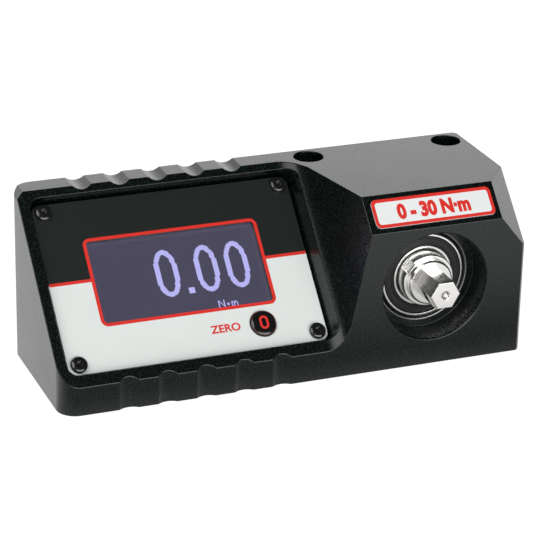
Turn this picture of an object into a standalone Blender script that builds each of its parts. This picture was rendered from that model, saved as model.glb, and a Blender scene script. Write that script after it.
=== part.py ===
# Digital torque tester for the bench: a cast housing with a display on a 45 degree slope
# at the left and a block at the right that holds a torque shaft with a hexagon drive.
#
# Sizes are metres. Lengths are given from the left side, the front face and the base of
# the housing. The origin is the middle of the base, +X runs to the right, +Y to the back.

import math

import bmesh
import bpy
from mathutils import Matrix, Vector

MM = 0.001

# Housing, outside
BODY_LENGTH = 173.0 * MM
BODY_DEPTH = 61.5 * MM
BODY_HEIGHT = 63.0 * MM
STRIP_HEIGHT = 10.6 * MM
TOP_STRIP_DEPTH = 9.1 * MM
LEFT_FRONT_RADIUS = 7.0 * MM
LEFT_BACK_RADIUS = 8.0 * MM
RIGHT_CHAMFER = 1.3 * MM
TOP_CHAMFER_WIDTH = 2.5 * MM
TOP_CHAMFER_DROP = 2.0 * MM

# Block at the right
BLOCK_START = 104.4 * MM
BLOCK_DRAFT = math.radians(15.4)
BLOCK_FOOT_RADIUS = 10.3 * MM
BLOCK_FOOT_HEIGHT = 5.95 * MM
BLOCK_FOOT_FLAT = 4.05 * MM
BLOCK_FOOT_FLAT_ANGLE = math.radians(52.5)
LABEL_SLOPE = 10.3 * MM
FACET_INSET = 18.5 * MM
FACET_REACH = 22.9 * MM

# Finger grooves across the front strip and the top
GROOVE_COUNT = 5
GROOVE_START = 24.1 * MM
GROOVE_PITCH = 14.03 * MM
GROOVE_RADIUS = 5.5 * MM
GROOVE_DEPTH = 1.2 * MM

# Walls and hollows
WALL = 4.0 * MM
FRONT_WALL = 6.0 * MM
FLOOR_THICKNESS = 3.0 * MM
HOLLOW_RIGHT_WALL = 4.4 * MM

# Display panel, and how far its edges lie in from the slope's: left, foot, block side and top
PANEL_LEFT = 5.0 * MM
PANEL_FOOT = 5.8 * MM
PANEL_BLOCK_SIDE = 3.7 * MM
PANEL_HEAD = 4.3 * MM
PANEL_THICKNESS = 1.5 * MM
PANEL_SINK = 3.6 * MM
PANEL_RADIUS = 3.0 * MM
PANEL_CLEARANCE = 0.5 * MM
POCKET_DRAFT = math.radians(8.5)
POCKET_RIGHT_DRAFT = math.radians(14.4)
PANEL_SCREW_INSET = 3.9 * MM
PANEL_SCREW_INSET_UP = 3.4 * MM

# Window, by its distances from the panel's edges, with the display module and the board
WINDOW_LEFT = 16.5 * MM
WINDOW_FOOT = 17.25 * MM
WINDOW_RIGHT = 16.75 * MM
WINDOW_HEAD = 15.9 * MM
WINDOW_RADIUS = 2.0 * MM
WINDOW_OVERLAP = 2.0 * MM
WINDOW_THICKNESS = 1.0 * MM
GLASS_OVERLAP = 2.2 * MM
GLASS_THICKNESS = 1.5 * MM
BACKLIGHT_THICKNESS = 4.4 * MM
BOARD_THICKNESS = 1.6 * MM
OPENING_INSET_ACROSS = 8.5 * MM
OPENING_INSET_UP = 2.6 * MM
BOARD_CLEARANCE = 1.0 * MM
STANDOFF_RADIUS = 2.2 * MM
STANDOFF_INSET = 4.2 * MM
BOARD_SCREW_RADIUS = 1.1 * MM
BOARD_SCREW_HEAD_RADIUS = 2.0 * MM
BOARD_SCREW_HEAD = 1.3 * MM
BOARD_SCREW_REACH = 2.4 * MM

# Zero button and its switch
BUTTON_FROM_RIGHT = 22.8 * MM
BUTTON_UP = 9.15 * MM
BUTTON_RADIUS = 4.6 * MM
BUTTON_CLEARANCE = 0.3 * MM
BUTTON_RISE = 0.7 * MM
BUTTON_CROWN = 0.7 * MM
BUTTON_FLANGE = 0.6 * MM
BUTTON_FLANGE_THICKNESS = 1.0 * MM
BUTTON_TRAVEL = 0.6 * MM
SWITCH_SIDE = 6.2 * MM
SWITCH_HEIGHT = 3.5 * MM
PLUNGER_RADIUS = 1.6 * MM
PLUNGER_ENGAGEMENT = 1.4 * MM

# Panel screws, M3 with a domed head
PANEL_SCREW_RADIUS = 1.5 * MM
PANEL_SCREW_HEAD_RADIUS = 2.85 * MM
PANEL_SCREW_HEAD = 1.65 * MM
PANEL_SCREW_SKIRT = 0.45 * MM
PANEL_SCREW_LENGTH = 5.0 * MM
PANEL_SCREW_SOCKET = 2.0 * MM

# Base plate and its countersunk screws
BASE_THICKNESS = 2.7 * MM
BASE_SCREW_RADIUS = 1.5 * MM
BASE_SCREW_HEAD_RADIUS = 2.9 * MM
BASE_SCREW_LENGTH = 7.6 * MM
BASE_SCREW_SINK = 0.15 * MM
BASE_SCREW_SOCKET = 2.0 * MM
BASE_SCREW_SOCKET_DEPTH = 1.1 * MM
BOSS_RADIUS = 4.6 * MM
BOSS_HEIGHT = 11.0 * MM
BOSS_BITE = 0.4 * MM

# Drive axis and the recess round it
DRIVE_FROM_LEFT = 138.0 * MM
DRIVE_HEIGHT = 29.8 * MM
RECESS_RADIUS = 20.0 * MM
RECESS_DEPTH = 11.0 * MM
RECESS_CHAMFER = 0.5 * MM
SEAT_CHAMFER = 0.7 * MM

# Ball bearing, 20 x 32 x 10 mm
BEARING_BORE_RADIUS = 10.0 * MM
BEARING_OUTER_RADIUS = 16.0 * MM
BEARING_WIDTH = 10.0 * MM
INNER_RACE_RADIUS = 11.2 * MM
OUTER_RACE_RADIUS = 14.9 * MM
BALL_RADIUS = 1.75 * MM
BALL_COUNT = 9
CAGE_THICKNESS = 1.2 * MM
CAGE_WIDTH = 6.2 * MM
SEAL_THICKNESS = 0.8 * MM
SEAL_SINK = 0.25 * MM

# Torque shaft
HEX_ACROSS_FLATS = 10.0 * MM
HEX_STAND_OUT = 8.3 * MM
HEX_CHAMFER = 0.35 * MM
CENTRE_HOLE_RADIUS = 1.25 * MM
CENTRE_HOLE_DEPTH = 4.0 * MM
HUB_DEPTH = 3.6 * MM
HUB_RADIUS = 8.3 * MM
HUB_CHAMFER = 0.6 * MM
HUB_LENGTH = 2.3 * MM
JOURNAL_RADIUS = 9.7 * MM
SLOT_WIDTH = 4.2 * MM
SLOT_DEPTH = 1.2 * MM
SLOT_ANGLE = math.radians(142)
SHOULDER_RADIUS = 10.9 * MM
SHOULDER_LENGTH = 3.5 * MM
GAUGE_RADIUS = 5.5 * MM
GAUGE_LENGTH = 18.0 * MM
GAUGE_FILLET = 3.0 * MM
TAIL_ACROSS_FLATS = 14.0 * MM
TAIL_ENGAGEMENT = 5.3 * MM
FOIL_LENGTH = 8.0 * MM
FOIL_WIDTH = 4.5 * MM
FOIL_THICKNESS = 0.4 * MM
TUNNEL_RADIUS = 15.0 * MM

# Anchor flange that holds the shaft's tail, let into the back of the block
FLANGE_RADIUS = 19.3 * MM
FLANGE_THICKNESS = 5.7 * MM
FLANGE_BOSS_RADIUS = 12.2 * MM
FLANGE_BOSS_LENGTH = 5.0 * MM
FLANGE_SCREW_CIRCLE = 16.0 * MM
FLANGE_SCREW_RADIUS = 2.0 * MM
FLANGE_SCREW_HEAD_RADIUS = 3.4 * MM
FLANGE_SCREW_HEAD = 3.6 * MM
FLANGE_SCREW_LENGTH = 10.0 * MM
FLANGE_SCREW_SOCKET = 3.0 * MM
FLANGE_WEB = 1.6 * MM
FLANGE_LAND = 2.0 * MM

# Bolt holes through the block
BOLT_HOLE_RADIUS = 5.5 * MM
BOLT_HOLE_SPACING = 55.0 * MM
BOLT_HOLE_BACK_WALL = 2.0 * MM

# Label on the block's slope
LABEL_WIDTH = 46.0 * MM
LABEL_HEIGHT = 10.9 * MM
LABEL_THICKNESS = 0.4 * MM
LABEL_RADIUS = 2.0 * MM
LABEL_MIDDLE = 138.0 * MM
LABEL_GAP = 0.1 * MM

# Supply inlet in the back wall and the leads inside
INLET_FROM_LEFT = 25.0 * MM
INLET_HEIGHT = 15.0 * MM
INLET_NECK_RADIUS = 4.2 * MM
INLET_BORE_RADIUS = 3.2 * MM
INLET_BORE_DEPTH = 9.0 * MM
INLET_RIM_RADIUS = 5.7 * MM
INLET_RIM_THICKNESS = 1.2 * MM
INLET_LENGTH = 13.5 * MM
INLET_PIN_RADIUS = 1.0 * MM
INLET_NUT_ACROSS_FLATS = 11.0 * MM
INLET_NUT_THICKNESS = 2.4 * MM
LEAD_RADIUS = 0.9 * MM
LEAD_BEND = 4.0 * MM
WIRE_HOLE_RADIUS = 2.5 * MM
WIRE_HOLE_DEPTH = 40.0 * MM
CONNECTOR_LENGTH = 7.0 * MM
CONNECTOR_WIDTH = 6.0 * MM
CONNECTOR_HEIGHT = 4.0 * MM
CONNECTOR_UP = 34.2 * MM
GAUGE_CONNECTOR_ACROSS = 78.5 * MM
SUPPLY_CONNECTOR_ACROSS = 26.5 * MM

# Fits
SEAT_GAP = 0.3 * MM
SCREW_CLEARANCE = 0.3 * MM
CUT_MARGIN = 4.0 * MM
CUT_OVER = 1.0 * MM
EDGE_BREAK = 0.4 * MM
ROUND = 32
SMALL_ROUND = 14

# Derived places
LEFT = -BODY_LENGTH / 2
RIGHT = BODY_LENGTH / 2
FRONT = -BODY_DEPTH / 2
BACK = BODY_DEPTH / 2
SLOPE_RISE = BODY_HEIGHT - STRIP_HEIGHT
SLOPE_RUN = BODY_DEPTH - TOP_STRIP_DEPTH
SLOPE_ANGLE = math.atan2(SLOPE_RISE, SLOPE_RUN)
SLOPE_LENGTH = math.hypot(SLOPE_RISE, SLOPE_RUN)
PANEL_RIGHT = BLOCK_START - PANEL_BLOCK_SIDE
PANEL_TOP = SLOPE_LENGTH - PANEL_HEAD
POCKET_DEPTH = PANEL_SINK + PANEL_THICKNESS + SEAT_GAP
HOLLOW_RIGHT = BLOCK_START - HOLLOW_RIGHT_WALL
HOLLOW_BACK = BODY_DEPTH - WALL
BALL_CIRCLE = (INNER_RACE_RADIUS + OUTER_RACE_RADIUS) / 2
BEARING_BACK = RECESS_DEPTH + BEARING_WIDTH
BEARING_MIDDLE = RECESS_DEPTH + BEARING_WIDTH / 2
FLANGE_SEAT = BODY_DEPTH - FLANGE_THICKNESS - SEAT_GAP
FLANGE_FRONT = FLANGE_SEAT - FLANGE_BOSS_LENGTH
TAIL_END = FLANGE_FRONT + TAIL_ENGAGEMENT
WINDOW_TOP = POCKET_DEPTH
GLASS_TOP = WINDOW_TOP + WINDOW_THICKNESS + SEAT_GAP
BACKLIGHT_TOP = GLASS_TOP + GLASS_THICKNESS + SEAT_GAP
BOARD_TOP = BACKLIGHT_TOP + BACKLIGHT_THICKNESS + SEAT_GAP
BOARD_BACK = BOARD_TOP + BOARD_THICKNESS
BUTTON_FLANGE_BACK = POCKET_DEPTH + BUTTON_FLANGE_THICKNESS
SWITCH_TOP = BOARD_TOP - SEAT_GAP - SWITCH_HEIGHT
MOUNT_HOLES = [
    (DRIVE_FROM_LEFT + side * BOLT_HOLE_SPACING / 2,
     BODY_DEPTH - BOLT_HOLE_BACK_WALL - BOLT_HOLE_RADIUS)
    for side in (-1, 1)
]
GROOVES = [GROOVE_START + i * GROOVE_PITCH for i in range(GROOVE_COUNT)]


def clear_scene():
    for obj in list(bpy.data.objects):
        bpy.data.objects.remove(obj, do_unlink=True)


def finish(name, colour, roughness, metallic=0.0):
    material = bpy.data.materials.new(name)
    material.use_nodes = True
    shader = material.node_tree.nodes["Principled BSDF"]
    shader.inputs["Base Color"].default_value = (*colour, 1.0)
    shader.inputs["Roughness"].default_value = roughness
    shader.inputs["Metallic"].default_value = metallic
    material.diffuse_color = (*colour, 1.0)
    return material


def frame_at(name, place, rotation=(0, 0, 0)):
    """An empty that carries the pieces of one sloping or turned group."""
    empty = bpy.data.objects.new(name, None)
    empty.location = place
    empty.rotation_euler = rotation
    empty.empty_display_size = 0.01
    bpy.context.scene.collection.objects.link(empty)
    return empty


def from_corner(left, front, height):
    """A place given from the left side, the front face and the base."""
    return Vector((LEFT + left, FRONT + front, height))


def place(obj, parent=None, at=(0, 0, 0), turn=(0, 0, 0)):
    obj.parent = parent
    obj.location = at
    obj.rotation_euler = turn
    return obj


def to_object(name, bm, material=None):
    bmesh.ops.remove_doubles(bm, verts=bm.verts, dist=1e-8)
    bmesh.ops.recalc_face_normals(bm, faces=bm.faces)
    mesh = bpy.data.meshes.new(name)
    bm.to_mesh(mesh)
    bm.free()
    mesh.shade_smooth()
    mesh.set_sharp_from_angle(angle=math.radians(32))
    if material:
        mesh.materials.append(material)
    obj = bpy.data.objects.new(name, mesh)
    bpy.context.scene.collection.objects.link(obj)
    return obj


def sweep_axes(axis):
    """Maps an outline's two numbers and the way along to x, y and z."""
    return {
        "X": lambda u, v, w: (w, u, v),
        "Y": lambda u, v, w: (u, w, v),
        "Z": lambda u, v, w: (u, v, w),
    }[axis]


def prism(name, outline, low, high, axis="Z", material=None):
    """A solid with one outline all along an axis."""
    to_point = sweep_axes(axis)
    bm = bmesh.new()
    base = [bm.verts.new(to_point(u, v, low)) for u, v in outline]
    face = bm.faces.new(base)
    grown = bmesh.ops.extrude_face_region(bm, geom=[face])
    moved = [g for g in grown["geom"] if isinstance(g, bmesh.types.BMVert)]
    bmesh.ops.translate(bm, verts=moved, vec=Vector(to_point(0, 0, high - low)))
    return to_object(name, bm, material)


def loft(name, lower, upper, low, high, material=None):
    """A solid between two outlines with the same number of points."""
    bm = bmesh.new()
    rings = [[bm.verts.new((u, v, w)) for u, v in ring] for ring, w in ((lower, low), (upper, high))]
    bm.faces.new(rings[0])
    bm.faces.new(rings[1])
    count = len(lower)
    for i in range(count):
        j = (i + 1) % count
        bm.faces.new((rings[0][i], rings[0][j], rings[1][j], rings[1][i]))
    return to_object(name, bm, material)


def turned(name, profile, steps=ROUND, material=None):
    """A round solid about local Z from a closed profile of (radius, height) points."""
    bm = bmesh.new()
    points = [bm.verts.new((radius, 0, height)) for radius, height in profile]
    edges = [bm.edges.new((points[i], points[(i + 1) % len(points)])) for i in range(len(points))]
    bmesh.ops.spin(bm, geom=points + edges, cent=(0, 0, 0), axis=(0, 0, 1), dvec=(0, 0, 0),
                   angle=math.tau, steps=steps, use_merge=True, use_duplicate=False)
    bmesh.ops.remove_doubles(bm, verts=bm.verts, dist=1e-7)
    bmesh.ops.dissolve_degenerate(bm, edges=bm.edges, dist=1e-8)
    return to_object(name, bm, material)


def arc(centre, radius, start, end, steps):
    return [
        (centre[0] + radius * math.cos(start + (end - start) * i / steps),
         centre[1] + radius * math.sin(start + (end - start) * i / steps))
        for i in range(steps + 1)
    ]


def rounded_rectangle(left, foot, right, top, radius, steps=5):
    quarter = math.pi / 2
    points = []
    corners = ((right - radius, top - radius), (left + radius, top - radius),
               (left + radius, foot + radius), (right - radius, foot + radius))
    for i, corner in enumerate(corners):
        points += arc(corner, radius, i * quarter, (i + 1) * quarter, steps)
    return points


def hexagon(across_flats, flats_up=True):
    radius = across_flats / math.sqrt(3)
    start = 0 if flats_up else math.pi / 6
    return [(radius * math.cos(start + i * math.pi / 3), radius * math.sin(start + i * math.pi / 3))
            for i in range(6)]


def cylinder(name, radius, low, high, axis="Z", steps=ROUND, centre=(0, 0), material=None):
    outline = arc(centre, radius, 0, math.tau, steps)[:-1]
    return prism(name, outline, low, high, axis, material)


def as_cutter(obj):
    obj.hide_render = True
    obj.display_type = "WIRE"
    return obj


def boolean(target, other, operation="DIFFERENCE"):
    modifier = target.modifiers.new(f"{operation.lower()} {other.name}", "BOOLEAN")
    modifier.operation = operation
    modifier.object = as_cutter(other)
    modifier.solver = "EXACT"
    return target


def half_space(name, point, normal, reach):
    """A big block beyond a plane, to cut a body back to that plane."""
    normal = Vector(normal).normalized()
    block = prism(name, rounded_rectangle(-reach, -reach, reach, reach, reach / 100, 1), 0, reach)
    block.matrix_world = Matrix.Translation(point) @ normal.to_track_quat("Z", "Y").to_matrix().to_4x4()
    return block


def body_outline():
    """The housing seen from above: round at the left corners, chamfered at the right."""
    quarter = math.pi / 2
    front = arc((LEFT + LEFT_FRONT_RADIUS, FRONT + LEFT_FRONT_RADIUS), LEFT_FRONT_RADIUS,
                2 * quarter, 3 * quarter, 6)
    right = [(RIGHT - RIGHT_CHAMFER, FRONT), (RIGHT, FRONT + RIGHT_CHAMFER),
             (RIGHT, BACK - RIGHT_CHAMFER), (RIGHT - RIGHT_CHAMFER, BACK)]
    back = arc((LEFT + LEFT_BACK_RADIUS, BACK - LEFT_BACK_RADIUS), LEFT_BACK_RADIUS,
               quarter, 2 * quarter, 6)
    return front + right + back


def display_air(slope):
    """What the slope leaves open, up to the block's drafted wall.

    The wall's foot is an arc that runs out of the slope, then a short flat.
    """
    lean = math.tan(BLOCK_DRAFT)
    radius = BLOCK_FOOT_RADIUS
    wall_foot = (BLOCK_START + BLOCK_FOOT_HEIGHT * lean, BLOCK_FOOT_HEIGHT)
    arc_end = (wall_foot[0] - BLOCK_FOOT_FLAT * math.cos(BLOCK_FOOT_FLAT_ANGLE),
               wall_foot[1] - BLOCK_FOOT_FLAT * math.sin(BLOCK_FOOT_FLAT_ANGLE))
    turn = math.acos(1 - arc_end[1] / radius)
    foot = arc_end[0] - radius * math.sin(turn)
    sweep = arc((foot, radius), radius, -math.pi / 2, -math.pi / 2 + turn, 5)
    reach = BODY_HEIGHT + BODY_DEPTH
    outline = [(-CUT_MARGIN, 0), *sweep, wall_foot, (BLOCK_START + reach * lean, reach), (-CUT_MARGIN, reach)]
    air = prism("display_air_cutter", outline, -CUT_MARGIN * 3, SLOPE_LENGTH + CUT_MARGIN * 3, "Y")
    return place(air, slope)


def panel_pocket(slope):
    """The drafted pocket that the panel drops into. Its floor carries the panel."""
    rise = POCKET_DEPTH + BLOCK_FOOT_HEIGHT
    side = math.tan(POCKET_DRAFT) * rise
    right_side = math.tan(POCKET_RIGHT_DRAFT) * rise
    left = PANEL_LEFT - PANEL_CLEARANCE
    foot = PANEL_FOOT - PANEL_CLEARANCE
    right = PANEL_RIGHT + PANEL_CLEARANCE
    top = PANEL_TOP + PANEL_CLEARANCE
    radius = PANEL_RADIUS + PANEL_CLEARANCE
    floor = rounded_rectangle(left, foot, right, top, radius)
    mouth = rounded_rectangle(left - side, foot - side, right + right_side, top + side, radius + side)
    return place(loft("pocket_cutter", floor, mouth, -POCKET_DEPTH, rise - POCKET_DEPTH), slope)


def boss_places():
    """Screw bosses of the base plate, from the left side and the front face."""
    inset = BOSS_RADIUS - BOSS_BITE
    columns = (WALL + inset, (WALL + HOLLOW_RIGHT) / 2, HOLLOW_RIGHT - inset)
    rows = (FRONT_WALL + inset, HOLLOW_BACK - inset)
    return [(x, y) for x in columns for y in rows]


def hollow():
    """The room for the display and board, open at the base, with bosses left standing."""
    ceiling = STRIP_HEIGHT - (POCKET_DEPTH + FLOOR_THICKNESS) / math.cos(SLOPE_ANGLE)
    rise = math.tan(SLOPE_ANGLE)
    outline = [(FRONT + FRONT_WALL, -CUT_MARGIN), (BACK - WALL, -CUT_MARGIN),
               (BACK - WALL, ceiling + HOLLOW_BACK * rise),
               (FRONT + FRONT_WALL, ceiling + FRONT_WALL * rise)]
    room = prism("hollow_cutter", outline, LEFT + WALL, LEFT + HOLLOW_RIGHT, "X")
    for i, (x, y) in enumerate(boss_places()):
        spot = from_corner(x, y, 0)
        boss = cylinder(f"boss_{i + 1}_guide", BOSS_RADIUS, BASE_THICKNESS + SEAT_GAP, BOSS_HEIGHT,
                        steps=20, centre=(spot.x, spot.y))
        boolean(room, boss)
    return room


def drive_bore(drive):
    """Recess, bearing seat and shaft tunnel, turned about the drive axis."""
    chamfer = RECESS_CHAMFER
    bearing = BEARING_OUTER_RADIUS + SEAT_GAP
    neck = FLANGE_BOSS_RADIUS + SEAT_GAP
    step = FLANGE_SEAT - FLANGE_SCREW_LENGTH - FLANGE_LAND
    rim = FLANGE_RADIUS + SEAT_GAP
    depths = [
        (0, -CUT_MARGIN), (RECESS_RADIUS + chamfer + CUT_MARGIN, -CUT_MARGIN),
        (RECESS_RADIUS, chamfer), (RECESS_RADIUS, RECESS_DEPTH), (bearing + SEAT_CHAMFER, RECESS_DEPTH),
        (bearing, RECESS_DEPTH + SEAT_CHAMFER), (bearing, BEARING_BACK + SEAT_GAP),
        (TUNNEL_RADIUS, BEARING_BACK + SEAT_GAP),
        (TUNNEL_RADIUS, step), (neck, step), (neck, FLANGE_SEAT), (rim, FLANGE_SEAT),
        (rim, BODY_DEPTH + CUT_MARGIN), (0, BODY_DEPTH + CUT_MARGIN),
    ]
    return place(turned("drive_bore_cutter", [(r, -d) for r, d in depths], ROUND), drive)


def flange_screw_spots():
    return [(FLANGE_SCREW_CIRCLE * math.cos(a), FLANGE_SCREW_CIRCLE * math.sin(a))
            for a in (math.radians(45 + 90 * i) for i in range(4))]


def panel_screw_spots():
    """Screw places on the slope, from its left end and its foot."""
    across = (PANEL_LEFT + PANEL_SCREW_INSET, PANEL_RIGHT - PANEL_SCREW_INSET)
    up = (PANEL_FOOT + PANEL_SCREW_INSET_UP, PANEL_TOP - PANEL_SCREW_INSET_UP)
    return [(x, y) for x in across for y in up]


def floor_opening():
    """Edges of the opening in the pocket's floor: left, foot, right and top."""
    return (PANEL_LEFT + OPENING_INSET_ACROSS, PANEL_FOOT + OPENING_INSET_UP,
            PANEL_RIGHT - OPENING_INSET_ACROSS, PANEL_TOP - OPENING_INSET_UP)


def board_edges():
    """The board's edges in the opening: left, foot, right and top. Its top clears the back wall."""
    left, foot, right, top = floor_opening()
    room = BODY_DEPTH - WALL - BOARD_CLEARANCE - BOARD_BACK * math.sin(SLOPE_ANGLE)
    highest = room / math.cos(SLOPE_ANGLE)
    return (left + BOARD_CLEARANCE, foot + BOARD_CLEARANCE, right - BOARD_CLEARANCE,
            min(top - BOARD_CLEARANCE, highest))


def make_housing(slope, drive, material):
    housing = prism("housing", body_outline(), 0, BODY_HEIGHT, material=material)
    boolean(housing, display_air(slope))

    cut = CUT_MARGIN + LABEL_SLOPE
    wedge = [(FRONT - cut, BODY_HEIGHT - LABEL_SLOPE - cut), (FRONT + LABEL_SLOPE + cut, BODY_HEIGHT + cut),
             (FRONT - cut, BODY_HEIGHT + cut)]
    boolean(housing, prism("label_slope_cutter", wedge, LEFT - cut, RIGHT + cut, "X"))

    ratio = FACET_INSET / FACET_REACH
    boolean(housing, half_space("facet_cutter", from_corner(BODY_LENGTH - FACET_INSET, 0, BODY_HEIGHT),
                                (1, -ratio, ratio), BODY_HEIGHT))
    boolean(housing, half_space("top_chamfer_cutter", from_corner(TOP_CHAMFER_WIDTH, 0, BODY_HEIGHT),
                                (-TOP_CHAMFER_DROP, 0, TOP_CHAMFER_WIDTH), BODY_LENGTH))

    offset = GROOVE_RADIUS - GROOVE_DEPTH
    for i, x in enumerate(GROOVES):
        flute = cylinder(f"front_groove_{i + 1}_cutter", GROOVE_RADIUS, -CUT_MARGIN,
                         STRIP_HEIGHT + CUT_MARGIN, steps=28, centre=(LEFT + x, FRONT - offset))
        scallop = cylinder(f"top_groove_{i + 1}_cutter", GROOVE_RADIUS, 0, BACK + CUT_MARGIN, "Y",
                           steps=28, centre=(LEFT + x, BODY_HEIGHT + offset))
        boolean(housing, flute)
        boolean(housing, scallop)

    boolean(housing, panel_pocket(slope))
    boolean(housing, hollow())
    opening = rounded_rectangle(*floor_opening(), PANEL_RADIUS, 3)
    deep = POCKET_DEPTH + FLOOR_THICKNESS + SEAT_GAP
    boolean(housing, place(prism("floor_opening_cutter", opening, -deep, -POCKET_DEPTH + SEAT_GAP), slope))
    for i, spot in enumerate(panel_screw_spots()):
        hole = cylinder(f"panel_screw_hole_{i + 1}_cutter", PANEL_SCREW_RADIUS + SCREW_CLEARANCE,
                        -deep - SEAT_GAP, 0, steps=SMALL_ROUND, centre=spot)
        boolean(housing, place(hole, slope))
    for i, (x, y) in enumerate(boss_places()):
        spot = from_corner(x, y, 0)
        hole = cylinder(f"base_screw_hole_{i + 1}_cutter", BASE_SCREW_RADIUS + SCREW_CLEARANCE, 0,
                        BASE_SCREW_LENGTH + 2 * SEAT_GAP, steps=SMALL_ROUND, centre=(spot.x, spot.y))
        boolean(housing, hole)

    boolean(housing, drive_bore(drive))
    for i, spot in enumerate(flange_screw_spots()):
        deepest = FLANGE_SEAT - FLANGE_SCREW_LENGTH
        hole = cylinder(f"flange_screw_hole_{i + 1}_cutter", FLANGE_SCREW_RADIUS + SCREW_CLEARANCE,
                        -FLANGE_SEAT - SEAT_GAP, -deepest, steps=SMALL_ROUND, centre=spot)
        boolean(housing, place(hole, drive))
    for i, (x, y) in enumerate(MOUNT_HOLES):
        spot = from_corner(x, y, 0)
        boolean(housing, cylinder(f"bolt_hole_{i + 1}_cutter", BOLT_HOLE_RADIUS, -CUT_MARGIN,
                                  BODY_HEIGHT + CUT_MARGIN, steps=ROUND, centre=(spot.x, spot.y)))

    wire = from_corner(0, WIRE_HOLE_DEPTH, DRIVE_HEIGHT)
    boolean(housing, cylinder("wire_hole_cutter", WIRE_HOLE_RADIUS, LEFT + HOLLOW_RIGHT - CUT_MARGIN / 4,
                              LEFT + DRIVE_FROM_LEFT - TUNNEL_RADIUS + CUT_MARGIN, "X",
                              steps=SMALL_ROUND, centre=(wire.y, wire.z)))
    inlet = from_corner(INLET_FROM_LEFT, 0, INLET_HEIGHT)
    for name, radius, start in (
        ("inlet_hole_cutter", INLET_NECK_RADIUS + SEAT_GAP, HOLLOW_BACK - CUT_MARGIN / 4),
        ("inlet_rim_cutter", INLET_RIM_RADIUS + SEAT_GAP, BODY_DEPTH - INLET_RIM_THICKNESS - SEAT_GAP),
    ):
        boolean(housing, cylinder(name, radius, FRONT + start, BACK + CUT_MARGIN, "Y", steps=24,
                                  centre=(inlet.x, inlet.z)))
    return housing


def make_base(materials):
    gap = SEAT_GAP
    plate = prism("base_plate", rounded_rectangle(LEFT + WALL + gap, FRONT + FRONT_WALL + gap,
                                                  LEFT + HOLLOW_RIGHT - gap, BACK - WALL - gap,
                                                  2 * EDGE_BREAK, 2),
                  0, BASE_THICKNESS, material=materials["sheet"])
    shank = BASE_SCREW_RADIUS
    head = BASE_SCREW_HEAD_RADIUS
    cone = head - shank
    low = BASE_SCREW_SINK
    profile = [(0, low), (head, low), (shank, low + cone), (shank, BASE_SCREW_LENGTH),
               (0, BASE_SCREW_LENGTH)]
    slack = SCREW_CLEARANCE
    over = CUT_OVER
    sink = [(0, -over), (head + slack + over, -over), (shank + slack, head - shank),
            (shank + slack, 2 * BASE_THICKNESS), (0, 2 * BASE_THICKNESS)]
    for i, (x, y) in enumerate(boss_places()):
        spot = from_corner(x, y, 0)
        boolean(plate, place(turned(f"countersink_{i + 1}_cutter", sink, SMALL_ROUND), at=spot))
        screw = place(turned(f"base_screw_{i + 1}", profile, SMALL_ROUND, materials["steel"]), at=spot)
        socket = prism(f"base_screw_{i + 1}_socket_cutter", hexagon(BASE_SCREW_SOCKET), -over,
                       low + BASE_SCREW_SOCKET_DEPTH)
        boolean(screw, place(socket, at=spot))


def make_panel(slope, materials):
    """The front plate with its window, button hole and four domed screws."""
    face = -PANEL_SINK
    back = face - PANEL_THICKNESS
    over = CUT_OVER
    outline = rounded_rectangle(PANEL_LEFT, PANEL_FOOT, PANEL_RIGHT, PANEL_TOP, PANEL_RADIUS)
    plate = place(prism("display_panel", outline, back, face, material=materials["panel"]), slope)
    window = prism("window_cutter", window_outline(0), back - over, face + over)
    boolean(plate, place(window, slope))
    button = cylinder("button_hole_cutter", BUTTON_RADIUS + BUTTON_CLEARANCE, back - over, face + over,
                      steps=ROUND, centre=button_spot())
    boolean(plate, place(button, slope))
    head = PANEL_SCREW_HEAD_RADIUS
    shank = PANEL_SCREW_RADIUS
    skirt = PANEL_SCREW_SKIRT
    start = face + SEAT_GAP
    dome = [(head * math.cos(a), start + skirt + (PANEL_SCREW_HEAD - skirt) * math.sin(a))
            for a in (math.radians(22.5 * i) for i in range(4))]
    profile = [(0, start - PANEL_SCREW_LENGTH), (shank, start - PANEL_SCREW_LENGTH), (shank, start),
               (head, start), *dome, (0, start + PANEL_SCREW_HEAD)]
    for i, spot in enumerate(panel_screw_spots()):
        hole = cylinder(f"panel_hole_{i + 1}_cutter", shank + SCREW_CLEARANCE, back - over, face + over,
                        steps=SMALL_ROUND, centre=spot)
        boolean(plate, place(hole, slope))
        screw = turned(f"panel_screw_{i + 1}", profile, SMALL_ROUND, materials["black_steel"])
        place(screw, slope, (*spot, 0))
        socket = prism(f"panel_screw_{i + 1}_socket_cutter", hexagon(PANEL_SCREW_SOCKET),
                       start + PANEL_SCREW_HEAD / 3, start + 2 * PANEL_SCREW_HEAD)
        boolean(screw, place(socket, slope, (*spot, 0)))


def button_spot():
    return (PANEL_RIGHT - BUTTON_FROM_RIGHT, PANEL_FOOT + BUTTON_UP)


def window_outline(grow):
    """The window's outline on the slope, wider by grow on every side."""
    return rounded_rectangle(PANEL_LEFT + WINDOW_LEFT - grow, PANEL_FOOT + WINDOW_FOOT - grow,
                             PANEL_RIGHT - WINDOW_RIGHT + grow, PANEL_TOP - WINDOW_HEAD + grow,
                             WINDOW_RADIUS, 4)


def standoff_spots():
    left, foot, right, top = board_edges()
    inset = STANDOFF_INSET
    return [(x, y) for x in (left + inset, right - inset) for y in (foot + inset, top - inset)]


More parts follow.
